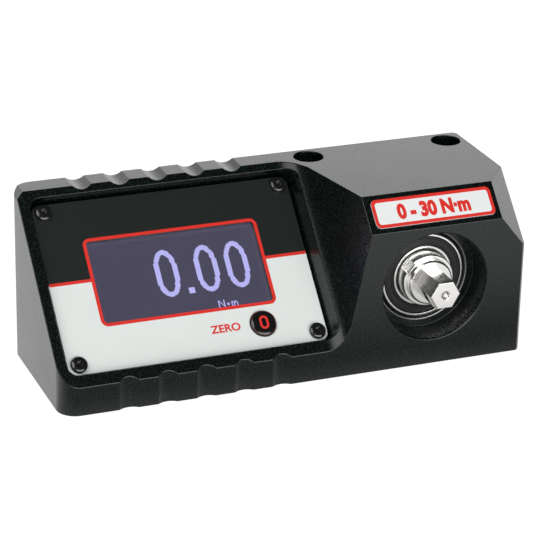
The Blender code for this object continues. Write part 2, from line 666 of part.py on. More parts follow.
def make_display(slope, materials):
    """Window, display glass, backlight and the board that carries them, from the front back."""
    layers = (
        ("display_window", WINDOW_OVERLAP, WINDOW_TOP, WINDOW_THICKNESS, "window"),
        ("lcd_glass", GLASS_OVERLAP, GLASS_TOP, GLASS_THICKNESS, "lcd"),
        ("lcd_backlight", GLASS_OVERLAP, BACKLIGHT_TOP, BACKLIGHT_THICKNESS, "white_plastic"),
    )
    for name, grow, depth, thickness, slot in layers:
        place(prism(name, window_outline(grow), -depth - thickness, -depth, material=materials[slot]), slope)

    board = prism("main_board", rounded_rectangle(*board_edges(), 2 * EDGE_BREAK, 2), -BOARD_BACK, -BOARD_TOP,
                  material=materials["board"])
    place(board, slope)
    start = POCKET_DEPTH
    bore = BOARD_SCREW_RADIUS + SCREW_CLEARANCE
    seat = BOARD_BACK + SEAT_GAP
    tip = BOARD_TOP - BOARD_SCREW_REACH
    post = [(0, -start), (STANDOFF_RADIUS, -start), (STANDOFF_RADIUS, -BOARD_TOP + SEAT_GAP),
            (bore, -BOARD_TOP + SEAT_GAP), (bore, -tip + SEAT_GAP), (0, -tip + SEAT_GAP)]
    screw = [(0, -seat - BOARD_SCREW_HEAD), (BOARD_SCREW_HEAD_RADIUS, -seat - BOARD_SCREW_HEAD),
             (BOARD_SCREW_HEAD_RADIUS, -seat), (BOARD_SCREW_RADIUS, -seat), (BOARD_SCREW_RADIUS, -tip),
             (0, -tip)]
    for i, spot in enumerate(standoff_spots()):
        hole = cylinder(f"board_hole_{i + 1}_cutter", bore, -BOARD_BACK - CUT_OVER, -BOARD_TOP + CUT_OVER,
                        steps=SMALL_ROUND, centre=spot)
        boolean(board, place(hole, slope))
        at = (*spot, 0)
        place(turned(f"board_standoff_{i + 1}", post, SMALL_ROUND, materials["steel"]), slope, at)
        place(turned(f"board_screw_{i + 1}", screw, SMALL_ROUND, materials["steel"]), slope, at)


def make_button(slope, materials):
    """The cap slides in the panel and pushes the plunger of a switch on the board."""
    at = (*button_spot(), 0)
    rim = BUTTON_RADIUS + BUTTON_CLEARANCE + BUTTON_FLANGE
    face = -PANEL_SINK + BUTTON_RISE
    crown = [(BUTTON_RADIUS * math.cos(a), face + BUTTON_CROWN * math.sin(a))
             for a in (math.radians(22.5 * i) for i in range(4))]
    low = -BUTTON_FLANGE_BACK
    flange_top = -POCKET_DEPTH
    profile = [(0, low), (rim, low), (rim, flange_top), (BUTTON_RADIUS, flange_top), *crown,
               (0, face + BUTTON_CROWN)]
    cap = turned("zero_button", profile, ROUND, materials["gloss_black"])
    place(cap, slope, at)
    half = SWITCH_SIDE / 2
    bottom = -(SWITCH_TOP + SWITCH_HEIGHT)
    body = prism("zero_switch", rounded_rectangle(-half, -half, half, half, EDGE_BREAK, 1), bottom, -SWITCH_TOP,
                 material=materials["black_plastic"])
    place(body, slope, at)
    deep = SWITCH_TOP + PLUNGER_ENGAGEMENT + BUTTON_TRAVEL + SEAT_GAP
    well = cylinder("switch_well_cutter", PLUNGER_RADIUS + SEAT_GAP, -deep, CUT_OVER - SWITCH_TOP,
                    steps=20)
    boolean(body, place(well, slope, at))
    plunger = cylinder("switch_plunger", PLUNGER_RADIUS, -SWITCH_TOP - PLUNGER_ENGAGEMENT,
                       low - SEAT_GAP, steps=20, material=materials["white_plastic"])
    place(plunger, slope, at)


def make_label(materials):
    """The range label on the block's 45 degree slope."""
    middle = from_corner(LABEL_MIDDLE, LABEL_SLOPE / 2, BODY_HEIGHT - LABEL_SLOPE / 2)
    carrier = frame_at("label_frame", middle, (math.radians(45), 0, 0))
    half = LABEL_WIDTH / 2
    high = LABEL_HEIGHT / 2
    plate = prism("range_label", rounded_rectangle(-half, -high, half, high, LABEL_RADIUS, 5), LABEL_GAP,
                  LABEL_GAP + LABEL_THICKNESS, material=materials["label"])
    place(plate, carrier)


def race_profile(bore, land, inner):
    """A race's section with the ball groove, bore side first. Inner races have the land outside."""
    half = BEARING_WIDTH / 2
    groove = BALL_RADIUS + SEAT_GAP
    reach = abs(BALL_CIRCLE - land)
    spread = math.acos(reach / groove)
    facing = math.pi if inner else 0
    curve = [(BALL_CIRCLE + groove * math.cos(facing + a), groove * math.sin(facing + a))
             for a in (spread * (i / 2 - 1) for i in range(5))]
    if inner:
        curve = curve[::-1]
    edge = EDGE_BREAK
    side = edge if inner else -edge
    return [(bore, -half + edge), (bore + side, -half), (land, -half), *curve, (land, half),
            (bore + side, half), (bore, half - edge)]


def make_bearing(drive, materials):
    middle = (0, 0, -BEARING_MIDDLE)
    steel = materials["bright_steel"]
    inner = race_profile(BEARING_BORE_RADIUS, INNER_RACE_RADIUS, True)
    outer = race_profile(BEARING_OUTER_RADIUS, OUTER_RACE_RADIUS, False)
    place(turned("bearing_inner_race", inner, ROUND, steel), drive, middle)
    place(turned("bearing_outer_race", outer, ROUND, steel), drive, middle)
    half = BEARING_WIDTH / 2
    low = INNER_RACE_RADIUS + SEAT_GAP
    high = OUTER_RACE_RADIUS - SEAT_GAP
    for name, side in (("bearing_front_seal", 1), ("bearing_rear_seal", -1)):
        near = side * (half - SEAL_SINK)
        far = side * (half - SEAL_SINK - SEAL_THICKNESS)
        ring = [(low, near), (high, near), (high, far), (low, far)]
        place(turned(name, ring, ROUND, materials["rubber"]), drive, middle)
    width = CAGE_WIDTH / 2
    thick = CAGE_THICKNESS / 2
    band = [(BALL_CIRCLE - thick, -width), (BALL_CIRCLE + thick, -width), (BALL_CIRCLE + thick, width),
            (BALL_CIRCLE - thick, width)]
    cage = place(turned("bearing_cage", band, ROUND, materials["brass"]), drive, middle)
    for i in range(BALL_COUNT):
        angle = math.tau * i / BALL_COUNT
        spot = (BALL_CIRCLE * math.cos(angle), BALL_CIRCLE * math.sin(angle), -BEARING_MIDDLE)
        place(ball(f"bearing_ball_{i + 1}", BALL_RADIUS, steel), drive, spot)
        reach = CAGE_THICKNESS * 2
        pocket = cylinder(f"cage_pocket_{i + 1}_cutter", BALL_RADIUS + SEAT_GAP, -reach, reach, "X", steps=12)
        boolean(cage, place(pocket, drive, spot, (0, 0, angle)))


def ball(name, radius, material):
    bm = bmesh.new()
    bmesh.ops.create_icosphere(bm, subdivisions=2, radius=radius)
    return to_object(name, bm, material)


def make_shaft(drive, materials):
    """Hexagon, hub, bearing journal, gauge section and tail, all one turned and milled piece."""
    journal_end = BEARING_BACK + SEAT_GAP
    shoulder_end = journal_end + SHOULDER_LENGTH
    gauge_end = shoulder_end + GAUGE_LENGTH
    over = CUT_OVER
    tail_radius = TAIL_ACROSS_FLATS / math.sqrt(3)
    step = HUB_DEPTH + HUB_LENGTH
    quarter = [math.radians(30 * i) for i in range(4)]
    front_fillet = [(GAUGE_RADIUS + GAUGE_FILLET * (1 - math.sin(a)),
                     shoulder_end + GAUGE_FILLET * (1 - math.cos(a))) for a in quarter]
    back_fillet = [(GAUGE_RADIUS + GAUGE_FILLET * (1 - math.cos(a)),
                    gauge_end - GAUGE_FILLET * (1 - math.sin(a))) for a in quarter]
    depths = [
        (0, HUB_DEPTH), (HUB_RADIUS - HUB_CHAMFER, HUB_DEPTH), (HUB_RADIUS, HUB_DEPTH + HUB_CHAMFER),
        (HUB_RADIUS, step), (JOURNAL_RADIUS - HUB_CHAMFER / 2, step),
        (JOURNAL_RADIUS, step + HUB_CHAMFER / 2), (JOURNAL_RADIUS, journal_end),
        (SHOULDER_RADIUS, journal_end), (SHOULDER_RADIUS, shoulder_end),
        *front_fillet, *back_fillet, (tail_radius + over, gauge_end), (tail_radius + over, gauge_end + over),
        (0, gauge_end + over),
    ]
    shaft = turned("drive_shaft", [(r, -d) for r, d in depths], ROUND, materials["nickel"])
    place(shaft, drive)

    outline = hexagon(HEX_ACROSS_FLATS)
    trim = (HEX_ACROSS_FLATS / 2 - HEX_CHAMFER) / (HEX_ACROSS_FLATS / 2)
    small = [(u * trim, v * trim) for u, v in outline]
    tip = HEX_STAND_OUT
    root = -HUB_DEPTH - over
    hex_bar = prism("hexagon_adder", outline, root, tip - HEX_CHAMFER)
    boolean(shaft, place(hex_bar, drive), "UNION")
    hex_tip = loft("hexagon_tip_adder", outline, small, tip - HEX_CHAMFER, tip)
    boolean(shaft, place(hex_tip, drive), "UNION")
    tail = prism("tail_adder", hexagon(TAIL_ACROSS_FLATS), -TAIL_END, -gauge_end)
    boolean(shaft, place(tail, drive), "UNION")

    cone = CENTRE_HOLE_RADIUS * 0.6
    drill = [(0, -CENTRE_HOLE_DEPTH - cone), (CENTRE_HOLE_RADIUS, -CENTRE_HOLE_DEPTH),
             (CENTRE_HOLE_RADIUS, over), (0, over)]
    boolean(shaft, place(turned("centre_hole_cutter", drill, 20), drive, (0, 0, tip)))
    half = SLOT_WIDTH / 2
    slot = [(JOURNAL_RADIUS - SLOT_DEPTH, -half), (JOURNAL_RADIUS + over, -half),
            (JOURNAL_RADIUS + over, half), (JOURNAL_RADIUS - SLOT_DEPTH, half)]
    milled = prism("slot_cutter", slot, -RECESS_DEPTH + SEAT_GAP, -step + over)
    boolean(shaft, place(milled, drive, turn=(0, 0, SLOT_ANGLE)))

    for i, side in enumerate((1, -1)):
        inner = GAUGE_RADIUS + SEAT_GAP
        reach = FOIL_WIDTH / 2 / inner
        centre = math.pi / 2 * side
        near = arc((0, 0), inner, centre - reach, centre + reach, 5)
        far = arc((0, 0), inner + FOIL_THICKNESS, centre + reach, centre - reach, 5)
        middle = (shoulder_end + gauge_end) / 2
        foil = prism(f"strain_gauge_{i + 1}", near + far, -middle - FOIL_LENGTH / 2, -middle + FOIL_LENGTH / 2,
                     material=materials["foil"])
        place(foil, drive)


def make_anchor(drive, materials):
    """The flange in the back of the block: its hexagon socket keeps the shaft's tail from turning."""
    seat = FLANGE_SEAT + SEAT_GAP
    front = FLANGE_FRONT
    over = CUT_OVER
    depths = [(0, front), (FLANGE_BOSS_RADIUS, front), (FLANGE_BOSS_RADIUS, seat), (FLANGE_RADIUS, seat),
              (FLANGE_RADIUS, BODY_DEPTH - HUB_CHAMFER), (FLANGE_RADIUS - HUB_CHAMFER, BODY_DEPTH),
              (0, BODY_DEPTH)]
    flange = turned("anchor_flange", [(r, -d) for r, d in depths], ROUND, materials["steel"])
    place(flange, drive)
    socket = prism("tail_socket_cutter", hexagon(TAIL_ACROSS_FLATS + 2 * SEAT_GAP), -TAIL_END - SEAT_GAP,
                   -front + over)
    boolean(flange, place(socket, drive))
    shank = FLANGE_SCREW_RADIUS
    head = FLANGE_SCREW_HEAD_RADIUS
    web = seat + FLANGE_WEB
    tip = seat - FLANGE_SCREW_LENGTH + 2 * SEAT_GAP
    under = web + SEAT_GAP
    top = under + FLANGE_SCREW_HEAD
    slack = SCREW_CLEARANCE
    bore = [(0, seat - over), (shank + slack, seat - over), (shank + slack, web),
            (head + slack, web), (head + slack, BODY_DEPTH + over), (0, BODY_DEPTH + over)]
    screw = [(0, tip), (shank, tip), (shank, under), (head, under), (head, top), (0, top)]
    for i, spot in enumerate(flange_screw_spots()):
        at = (*spot, 0)
        cutter = turned(f"flange_bore_{i + 1}_cutter", [(r, -d) for r, d in bore], SMALL_ROUND)
        boolean(flange, place(cutter, drive, at))
        bolt = turned(f"anchor_screw_{i + 1}", [(r, -d) for r, d in screw], SMALL_ROUND, materials["black_steel"])
        place(bolt, drive, at)
        key = prism(f"anchor_screw_{i + 1}_socket_cutter", hexagon(FLANGE_SCREW_SOCKET), -top - over,
                    -top + FLANGE_SCREW_HEAD / 2)
        boolean(bolt, place(key, drive, at))


def make_inlet(materials):
    """A round supply socket let into the back wall, with its nut inside."""
    back = frame_at("inlet_frame", from_corner(INLET_FROM_LEFT, BODY_DEPTH, INLET_HEIGHT),
                    (-math.pi / 2, 0, 0))
    rim = INLET_RIM_THICKNESS
    neck = INLET_NECK_RADIUS
    bore = INLET_BORE_RADIUS
    profile = [(0, -INLET_LENGTH), (neck, -INLET_LENGTH), (neck, -rim), (INLET_RIM_RADIUS, -rim),
               (INLET_RIM_RADIUS, 0), (bore, 0), (bore, -INLET_BORE_DEPTH), (0, -INLET_BORE_DEPTH)]
    place(turned("supply_inlet", profile, 24, materials["black_plastic"]), back)
    pin_root = -INLET_BORE_DEPTH + SEAT_GAP
    place(cylinder("inlet_pin", INLET_PIN_RADIUS, pin_root, -rim, steps=14, material=materials["nickel"]), back)
    nut_top = -WALL - SEAT_GAP
    nut = prism("inlet_nut", hexagon(INLET_NUT_ACROSS_FLATS), nut_top - INLET_NUT_THICKNESS, nut_top,
                material=materials["nickel"])
    place(nut, back)
    hole = cylinder("nut_hole_cutter", neck + SEAT_GAP, nut_top - 2 * INLET_NUT_THICKNESS,
                    nut_top + CUT_OVER, steps=24)
    boolean(nut, place(hole, back))


def on_slope(across, up, depth):
    """A place on the slope, given from the housing's corner."""
    y = up * math.cos(SLOPE_ANGLE) + depth * math.sin(SLOPE_ANGLE)
    z = STRIP_HEIGHT + up * math.sin(SLOPE_ANGLE) - depth * math.cos(SLOPE_ANGLE)
    return from_corner(across, y, z)


def smooth_path(points, spacing):
    """Points on a smooth curve through the given ones."""
    points = [Vector(p) for p in points]
    padded = [2 * points[0] - points[1], *points, 2 * points[-1] - points[-2]]
    path = []
    for a, b, c, d in zip(padded, padded[1:], padded[2:], padded[3:]):
        steps = max(2, round((c - b).length / spacing))
        for i in range(steps):
            t = i / steps
            path.append(0.5 * (2 * b + (c - a) * t + (2 * a - 5 * b + 4 * c - d) * t * t
                               + (3 * b - a - 3 * c + d) * t * t * t))
    path.append(points[-1])
    return path


def make_lead(name, points, material):
    curve = bpy.data.curves.new(name, "CURVE")
    curve.dimensions = "3D"
    curve.bevel_depth = LEAD_RADIUS
    curve.bevel_resolution = 1
    curve.use_fill_caps = True
    path = smooth_path(points, 5 * LEAD_RADIUS)
    spline = curve.splines.new("POLY")
    spline.points.add(len(path) - 1)
    for point, spot in zip(spline.points, path):
        point.co = (*spot, 1)
    curve.materials.append(material)
    lead = bpy.data.objects.new(name, curve)
    bpy.context.scene.collection.objects.link(lead)


def make_wiring(slope, materials):
    """Plugs on the back of the board, and the leads to the gauges and to the inlet."""
    half = CONNECTOR_LENGTH / 2
    wide = CONNECTOR_WIDTH / 2
    top = BOARD_BACK + SEAT_GAP
    up = PANEL_FOOT + CONNECTOR_UP
    for name, across in (("gauge_connector", GAUGE_CONNECTOR_ACROSS), ("supply_connector", SUPPLY_CONNECTOR_ACROSS)):
        block = prism(name, rounded_rectangle(-half, -wide, half, wide, EDGE_BREAK, 1), -top - CONNECTOR_HEIGHT,
                      -top, material=materials["white_plastic"])
        place(block, slope, (PANEL_LEFT + across, up, 0))
    depth = top + CONNECTOR_HEIGHT / 2
    gauge_end = on_slope(PANEL_LEFT + GAUGE_CONNECTOR_ACROSS + half + SEAT_GAP, up, depth)
    supply_end = on_slope(PANEL_LEFT + SUPPLY_CONNECTOR_ACROSS - half - SEAT_GAP, up, depth)
    wire = from_corner(0, WIRE_HOLE_DEPTH, DRIVE_HEIGHT)
    hole_left = LEFT + HOLLOW_RIGHT
    hole_right = LEFT + DRIVE_FROM_LEFT - TUNNEL_RADIUS
    bend = LEAD_BEND
    gauge_route = [
        (hole_right + 2.4 * bend, wire.y - 1.6 * bend, wire.z + 1.5 * bend),
        (hole_right + 1.9 * bend, wire.y - bend, wire.z + bend),
        (hole_right + bend, wire.y - bend / 4, wire.z + bend / 4), (hole_right, wire.y, wire.z),
        (hole_right - bend, wire.y, wire.z), (hole_left + bend, wire.y, wire.z),
        (hole_left - bend / 4, wire.y, wire.z), (gauge_end.x + bend, gauge_end.y, gauge_end.z), gauge_end,
    ]
    make_lead("gauge_lead", gauge_route, materials["lead"])
    inlet = from_corner(INLET_FROM_LEFT, BODY_DEPTH - INLET_LENGTH - SEAT_GAP, INLET_HEIGHT)
    supply_route = [
        inlet, (inlet.x, inlet.y - 0.75 * bend, inlet.z),
        (inlet.x - 0.75 * bend, inlet.y - 1.5 * bend, inlet.z + 0.75 * bend),
        (supply_end.x - 1.25 * bend, supply_end.y - bend / 4, supply_end.z - bend),
        (supply_end.x - 0.75 * bend, supply_end.y, supply_end.z - bend / 8), supply_end,
    ]
    make_lead("supply_lead", supply_route, materials["lead"])


def make_materials():
    return {
        "powder": finish("black powder coat", (0.028, 0.031, 0.031), 0.55),
        "sheet": finish("base sheet", (0.05, 0.05, 0.052), 0.5),
        "steel": finish("zinc plated steel", (0.55, 0.55, 0.55), 0.35, 1.0),
        "black_steel": finish("black oxide steel", (0.02, 0.02, 0.021), 0.35, 0.6),
        "bright_steel": finish("bearing steel", (0.62, 0.62, 0.63), 0.22, 1.0),
        "nickel": finish("nickel plate", (0.72, 0.69, 0.65), 0.18, 1.0),
        "brass": finish("brass", (0.68, 0.5, 0.24), 0.35, 1.0),
        "rubber": finish("seal rubber", (0.015, 0.015, 0.016), 0.5),
        "panel": finish("printed panel", (0.03, 0.032, 0.034), 0.35),
        "gloss_black": finish("gloss black plastic", (0.012, 0.012, 0.013), 0.12),
        "black_plastic": finish("black plastic", (0.02, 0.02, 0.02), 0.45),
        "white_plastic": finish("white plastic", (0.75, 0.75, 0.72), 0.45),
        "window": finish("clear window", (0.8, 0.82, 0.85), 0.05),
        "lcd": finish("display glass", (0.07, 0.06, 0.13), 0.12),
        "board": finish("board laminate", (0.02, 0.14, 0.07), 0.45),
        "label": finish("white label", (0.85, 0.85, 0.85), 0.35),
        "foil": finish("gauge foil", (0.62, 0.4, 0.16), 0.4, 0.3),
        "lead": finish("lead insulation", (0.03, 0.03, 0.03), 0.5),
    }


def main():
    clear_scene()
    materials = make_materials()
    slope = frame_at("slope_frame", from_corner(0, 0, STRIP_HEIGHT), (SLOPE_ANGLE, 0, 0))
    drive = frame_at("drive_frame", from_corner(DRIVE_FROM_LEFT, 0, DRIVE_HEIGHT), (math.pi / 2, 0, 0))
    make_housing(slope, drive, materials["powder"])
    make_base(materials)
    make_panel(slope, materials)
    make_display(slope, materials)
    make_button(slope, materials)
    make_label(materials)
    make_bearing(drive, materials)
    make_shaft(drive, materials)
    make_anchor(drive, materials)
    make_inlet(materials)
    make_wiring(slope, materials)


main()
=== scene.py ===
# Digital torque tester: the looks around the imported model.
# Shapes are drawn in millimetres and turned into metres when a piece is placed.

import math

import bmesh
import bpy
from mathutils import Matrix, Vector


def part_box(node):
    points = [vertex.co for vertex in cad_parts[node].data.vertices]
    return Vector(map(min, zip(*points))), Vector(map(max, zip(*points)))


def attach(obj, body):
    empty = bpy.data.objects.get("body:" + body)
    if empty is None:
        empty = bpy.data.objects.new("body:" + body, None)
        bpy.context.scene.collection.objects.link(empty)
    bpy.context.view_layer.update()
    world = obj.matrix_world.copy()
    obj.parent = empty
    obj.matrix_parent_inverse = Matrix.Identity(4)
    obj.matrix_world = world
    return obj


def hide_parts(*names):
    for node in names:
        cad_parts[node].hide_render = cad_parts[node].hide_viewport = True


mm = 0.001
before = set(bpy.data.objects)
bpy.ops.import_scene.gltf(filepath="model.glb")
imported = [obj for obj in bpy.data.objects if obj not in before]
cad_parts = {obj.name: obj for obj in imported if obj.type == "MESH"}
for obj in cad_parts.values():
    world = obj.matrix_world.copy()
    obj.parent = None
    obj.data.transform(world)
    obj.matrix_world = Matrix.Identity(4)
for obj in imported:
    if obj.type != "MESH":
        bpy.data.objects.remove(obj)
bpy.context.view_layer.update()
print("frame loaded:", len(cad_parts), "nodes")


# Outlines

def arcPoints(centre, radius, start, end, steps):
    turn = (end - start) / steps
    return [(centre[0] + radius * math.cos(start + turn * i),
             centre[1] + radius * math.sin(start + turn * i)) for i in range(steps + 1)]


def roundedBox(left, foot, right, top, radius, steps=10):
    quarter = math.pi / 2
    corners = ((right - radius, top - radius), (left + radius, top - radius),
               (left + radius, foot + radius), (right - radius, foot + radius))
    points = []
    for i, corner in enumerate(corners):
        points += arcPoints(corner, radius, i * quarter, (i + 1) * quarter, steps)
    return points


def hexagonPoints(acrossFlats, scale=1.0):
    radius = acrossFlats / math.sqrt(3) * scale
    return [(radius * math.cos(i * math.pi / 3), radius * math.sin(i * math.pi / 3)) for i in range(6)]


# Meshes

def toPiece(name, bm):
    bmesh.ops.remove_doubles(bm, verts=bm.verts, dist=1e-5)
    bmesh.ops.recalc_face_normals(bm, faces=bm.faces)
    mesh = bpy.data.meshes.new(name)
    bm.to_mesh(mesh)
    bm.free()
    piece = bpy.data.objects.new(name, mesh)
    bpy.context.scene.collection.objects.link(piece)
    return piece


def prism(name, outline, low, high, axis="Z"):
    toPoint = {
        "X": lambda u, v, w: (w, u, v),
        "Y": lambda u, v, w: (u, w, v),
        "Z": lambda u, v, w: (u, v, w),
    }[axis]
    bm = bmesh.new()
    face = bm.faces.new([bm.verts.new(toPoint(u, v, low)) for u, v in outline])
    grown = bmesh.ops.extrude_face_region(bm, geom=[face])
    moved = [item for item in grown["geom"] if isinstance(item, bmesh.types.BMVert)]
    bmesh.ops.translate(bm, verts=moved, vec=Vector(toPoint(0, 0, high - low)))
    return toPiece(name, bm)


def loft(name, lower, upper, low, high):
    bm = bmesh.new()
    rings = [[bm.verts.new((u, v, w)) for u, v in ring] for ring, w in ((lower, low), (upper, high))]
    bm.faces.new(rings[0])
    bm.faces.new(rings[1])
    for i in range(len(lower)):
        j = (i + 1) % len(lower)
        bm.faces.new((rings[0][i], rings[0][j], rings[1][j], rings[1][i]))
    return toPiece(name, bm)


def turned(name, profile, steps=96):
    # a round piece about local Z, from (radius, height) points
    bm = bmesh.new()
    points = [bm.verts.new((radius, 0, height)) for radius, height in profile]
    edges = [bm.edges.new((points[i], points[(i + 1) % len(points)])) for i in range(len(points))]
    bmesh.ops.spin(bm, geom=points + edges, cent=(0, 0, 0), axis=(0, 0, 1), dvec=(0, 0, 0),
                   angle=math.tau, steps=steps, use_merge=True, use_duplicate=False)
    bmesh.ops.remove_doubles(bm, verts=bm.verts, dist=1e-4)
    bmesh.ops.dissolve_degenerate(bm, edges=bm.edges, dist=1e-5)
    return toPiece(name, bm)


def rod(name, radius, low, high, axis="Z", centre=(0, 0), steps=64):
    return prism(name, arcPoints(centre, radius, 0, math.tau, steps)[:-1], low, high, axis)


def ringPlate(name, outer, inner, low, high):
    # a flat frame between two outlines with the same number of points
    bm = bmesh.new()
    rows = [[bm.verts.new((u, v, w)) for u, v in ring]
            for ring, w in ((outer, low), (outer, high), (inner, high), (inner, low))]
    for i in range(len(outer)):
        j = (i + 1) % len(outer)
        for first, second in zip(rows, rows[1:] + rows[:1]):
            bm.faces.new((first[i], first[j], second[j], second[i]))
    return toPiece(name, bm)


def moved(piece, matrix):
    piece.data.transform(matrix)
    return piece


def joined(name, pieces):
    bm = bmesh.new()
    for piece in pieces:
        bm.from_mesh(piece.data)
        bpy.data.objects.remove(piece, do_unlink=True)
    mesh = bpy.data.meshes.new(name)
    bm.to_mesh(mesh)
    bm.free()
    whole = bpy.data.objects.new(name, mesh)
    bpy.context.scene.collection.objects.link(whole)
    return whole


def applied(piece):
    bpy.context.view_layer.update()
    result = bpy.data.meshes.new_from_object(piece.evaluated_get(bpy.context.evaluated_depsgraph_get()))
    piece.modifiers.clear()
    piece.data = result
    return piece


def cut(target, cutter, operation="DIFFERENCE"):
    modifier = target.modifiers.new("cut", "BOOLEAN")
    modifier.operation = operation
    modifier.object = cutter
    modifier.solver = "EXACT"
    applied(target)
    bpy.data.objects.remove(cutter, do_unlink=True)
    return target


def softened(piece, width, segments=2, angle=28):
    # rounds the edges, which then catch the light as cast, turned and moulded edges do
    bm = bmesh.new()
    bm.from_mesh(piece.data)
    bmesh.ops.remove_doubles(bm, verts=bm.verts, dist=2e-3)
    bmesh.ops.dissolve_limit(bm, angle_limit=math.radians(0.4), verts=bm.verts, edges=bm.edges)
    bm.to_mesh(piece.data)
    bm.free()
    piece.data.shade_smooth()
    bevel = piece.modifiers.new("edges", "BEVEL")
    bevel.width = width
    bevel.segments = segments
    bevel.limit_method = "ANGLE"
    bevel.angle_limit = math.radians(angle)
    bevel.use_clamp_overlap = False
    bevel.harden_normals = True
    return applied(piece)


def splitAt(piece, height):
    # a seam along local Y = height, so that each side can take its own finish
    bm = bmesh.new()
    bm.from_mesh(piece.data)
    bmesh.ops.bisect_plane(bm, geom=bm.verts[:] + bm.edges[:] + bm.faces[:], plane_co=(0, height, 0),
                           plane_no=(0, 1, 0))
    bm.to_mesh(piece.data)
    bm.free()
    return piece


def rounded(piece, angle=30):
    piece.data.shade_smooth()
    piece.data.set_sharp_from_angle(angle=math.radians(angle))
    return piece


def placed(piece, place, finish, body, nodes=()):
    # into metres, on its frame and body
    piece.data.transform(Matrix.Scale(mm, 4))
    piece.matrix_world = place
    piece.data.materials.clear()
    piece.data.materials.append(finish)
    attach(piece, body)
    if nodes:
        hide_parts(*nodes)
    return piece


# Shader maths: an expression on Signals adds its Math nodes

def feed(tree, socket, value):
    if isinstance(value, Signal):
        tree.links.new(value.socket, socket)
    elif socket.type == "RGBA" and len(value) == 3:
        socket.default_value = (*value, 1.0)
    else:
        socket.default_value = value


class Signal:
    def __init__(self, tree, socket):
        self.tree = tree
        self.socket = socket

    def math(self, operation, *values):
        node = self.tree.nodes.new("ShaderNodeMath")
        node.operation = operation
        for socket, value in zip(node.inputs, values):
            feed(self.tree, socket, value)
        return Signal(self.tree, node.outputs[0])

    def __add__(self, other):
        return self.math("ADD", self, other)

    def __radd__(self, other):
        return self.math("ADD", other, self)

    def __sub__(self, other):
        return self.math("SUBTRACT", self, other)

    def __rsub__(self, other):
        return self.math("SUBTRACT", other, self)

    def __mul__(self, other):
        return self.math("MULTIPLY", self, other)

    def __rmul__(self, other):
        return self.math("MULTIPLY", other, self)

    def __truediv__(self, other):
        return self.math("DIVIDE", self, other)

    def __pow__(self, other):
        return self.math("POWER", self, other)

    def __gt__(self, other):
        return self.math("GREATER_THAN", self, other)


class Finish:
    # a Principled material, with one method for every other node
    def __init__(self, name, **sockets):
        self.material = bpy.data.materials.new(name)
        self.material.use_nodes = True
        self.tree = self.material.node_tree
        self.shader = self.tree.nodes["Principled BSDF"]
        self.paint(**sockets)

    def paint(self, **sockets):
        names = dict(colour="Base Color", roughness="Roughness", metallic="Metallic", normal="Normal",
                     coat="Coat Weight", coatRoughness="Coat Roughness", ior="IOR", alpha="Alpha",
                     specular="Specular IOR Level", transmission="Transmission Weight",
                     glow="Emission Color", glowStrength="Emission Strength", sheen="Sheen Weight",
                     sheenRoughness="Sheen Roughness", anisotropic="Anisotropic")
        for key, value in sockets.items():
            feed(self.tree, self.shader.inputs[names[key]], value)

    def node(self, kind, settings=None, sockets=None, output=None):
        node = self.tree.nodes.new("ShaderNode" + kind)
        for key, value in (settings or {}).items():
            if key == "stops":
                for stop, (position, colour) in zip(node.color_ramp.elements, value):
                    stop.position = position
                    stop.color = (*colour, 1.0)
            else:
                setattr(node, key, value)
        for key, value in (sockets or {}).items():
            socket = next(s for s in node.inputs if s.name == key and s.enabled)
            feed(self.tree, socket, value)
        found = [s for s in node.outputs if s.enabled and output in (None, s.name)]
        return Signal(self.tree, found[0])

    def place(self):
        return self.node("TexCoord", output="Object")

    def grain(self, size, detail=2.0, roughness=0.5, output=None, vector=None):
        # noise with features of that size, in millimetres
        return self.node("TexNoise", sockets={
            "Vector": vector or self.place(), "Scale": 1 / (size * mm), "Detail": detail,
            "Roughness": roughness}, output=output)

    def blend(self, amount, first, second):
        return self.node("Mix", dict(data_type="RGBA"), {"Factor": amount, "A": first, "B": second})

    def bump(self, height, depth, strength=1.0):
        # depth in millimetres is what a height of 1 stands for
        return self.node("Bump", sockets={"Height": height, "Distance": depth * mm, "Strength": strength})


def shade(colour, amount):
    return tuple(min(1.0, part * amount) for part in colour)


def linear(red, green, blue):
    # a colour picked on a screen, as light
    return tuple((part / 12.92 if part <= 0.04045 else ((part + 0.055) / 1.055) ** 2.4)
                 for part in (red / 255, green / 255, blue / 255))


def powderCoat(name, colour):
    # matt black powder coat: a fine orange peel, with specks that catch the light
    look = dict(speck=0.75, depth=0.03, roughness=0.21)
    finish = Finish(name, ior=1.5)
    speck = finish.grain(look["speck"], 2.0, 0.7)
    bright = finish.node("MapRange", sockets={"Value": speck, "From Min": 0.5, "From Max": 0.62})
    cloud = finish.grain(14.0, 3.0)
    finish.paint(colour=finish.blend(bright, shade(colour, 0.2), shade(colour, 3.0)),
                 roughness=look["roughness"] + 0.04 * cloud + 0.08 * speck,
                 normal=finish.bump(speck, look["depth"]))
    return finish.material


def turnedMetal(name, colour, roughness, marks=0.12, depth=0.0006, coat=0.0):
    # turning marks run round local Z; flats show them as faint bands
    finish = Finish(name, metallic=1.0)
    split = finish.node("SeparateXYZ", sockets={"Vector": finish.place()}, output="X")
    parts = split.socket.node.outputs
    across, up = Signal(finish.tree, parts["X"]), Signal(finish.tree, parts["Y"])
    radius = (across * across + up * up) ** 0.5
    wobble = finish.grain(3.0, 2.0)
    lines = finish.node("Math", dict(operation="SINE"),
                        {"Value": radius * (math.tau / (marks * mm)) + wobble * 3.0})
    smear = finish.grain(1.6, 3.0, 0.6)
    finish.paint(colour=finish.blend(smear, shade(colour, 0.9), shade(colour, 1.06)),
                 roughness=roughness * 0.8 + smear * (roughness * 0.45),
                 normal=finish.bump(lines, depth, 0.6))
    return finish.material


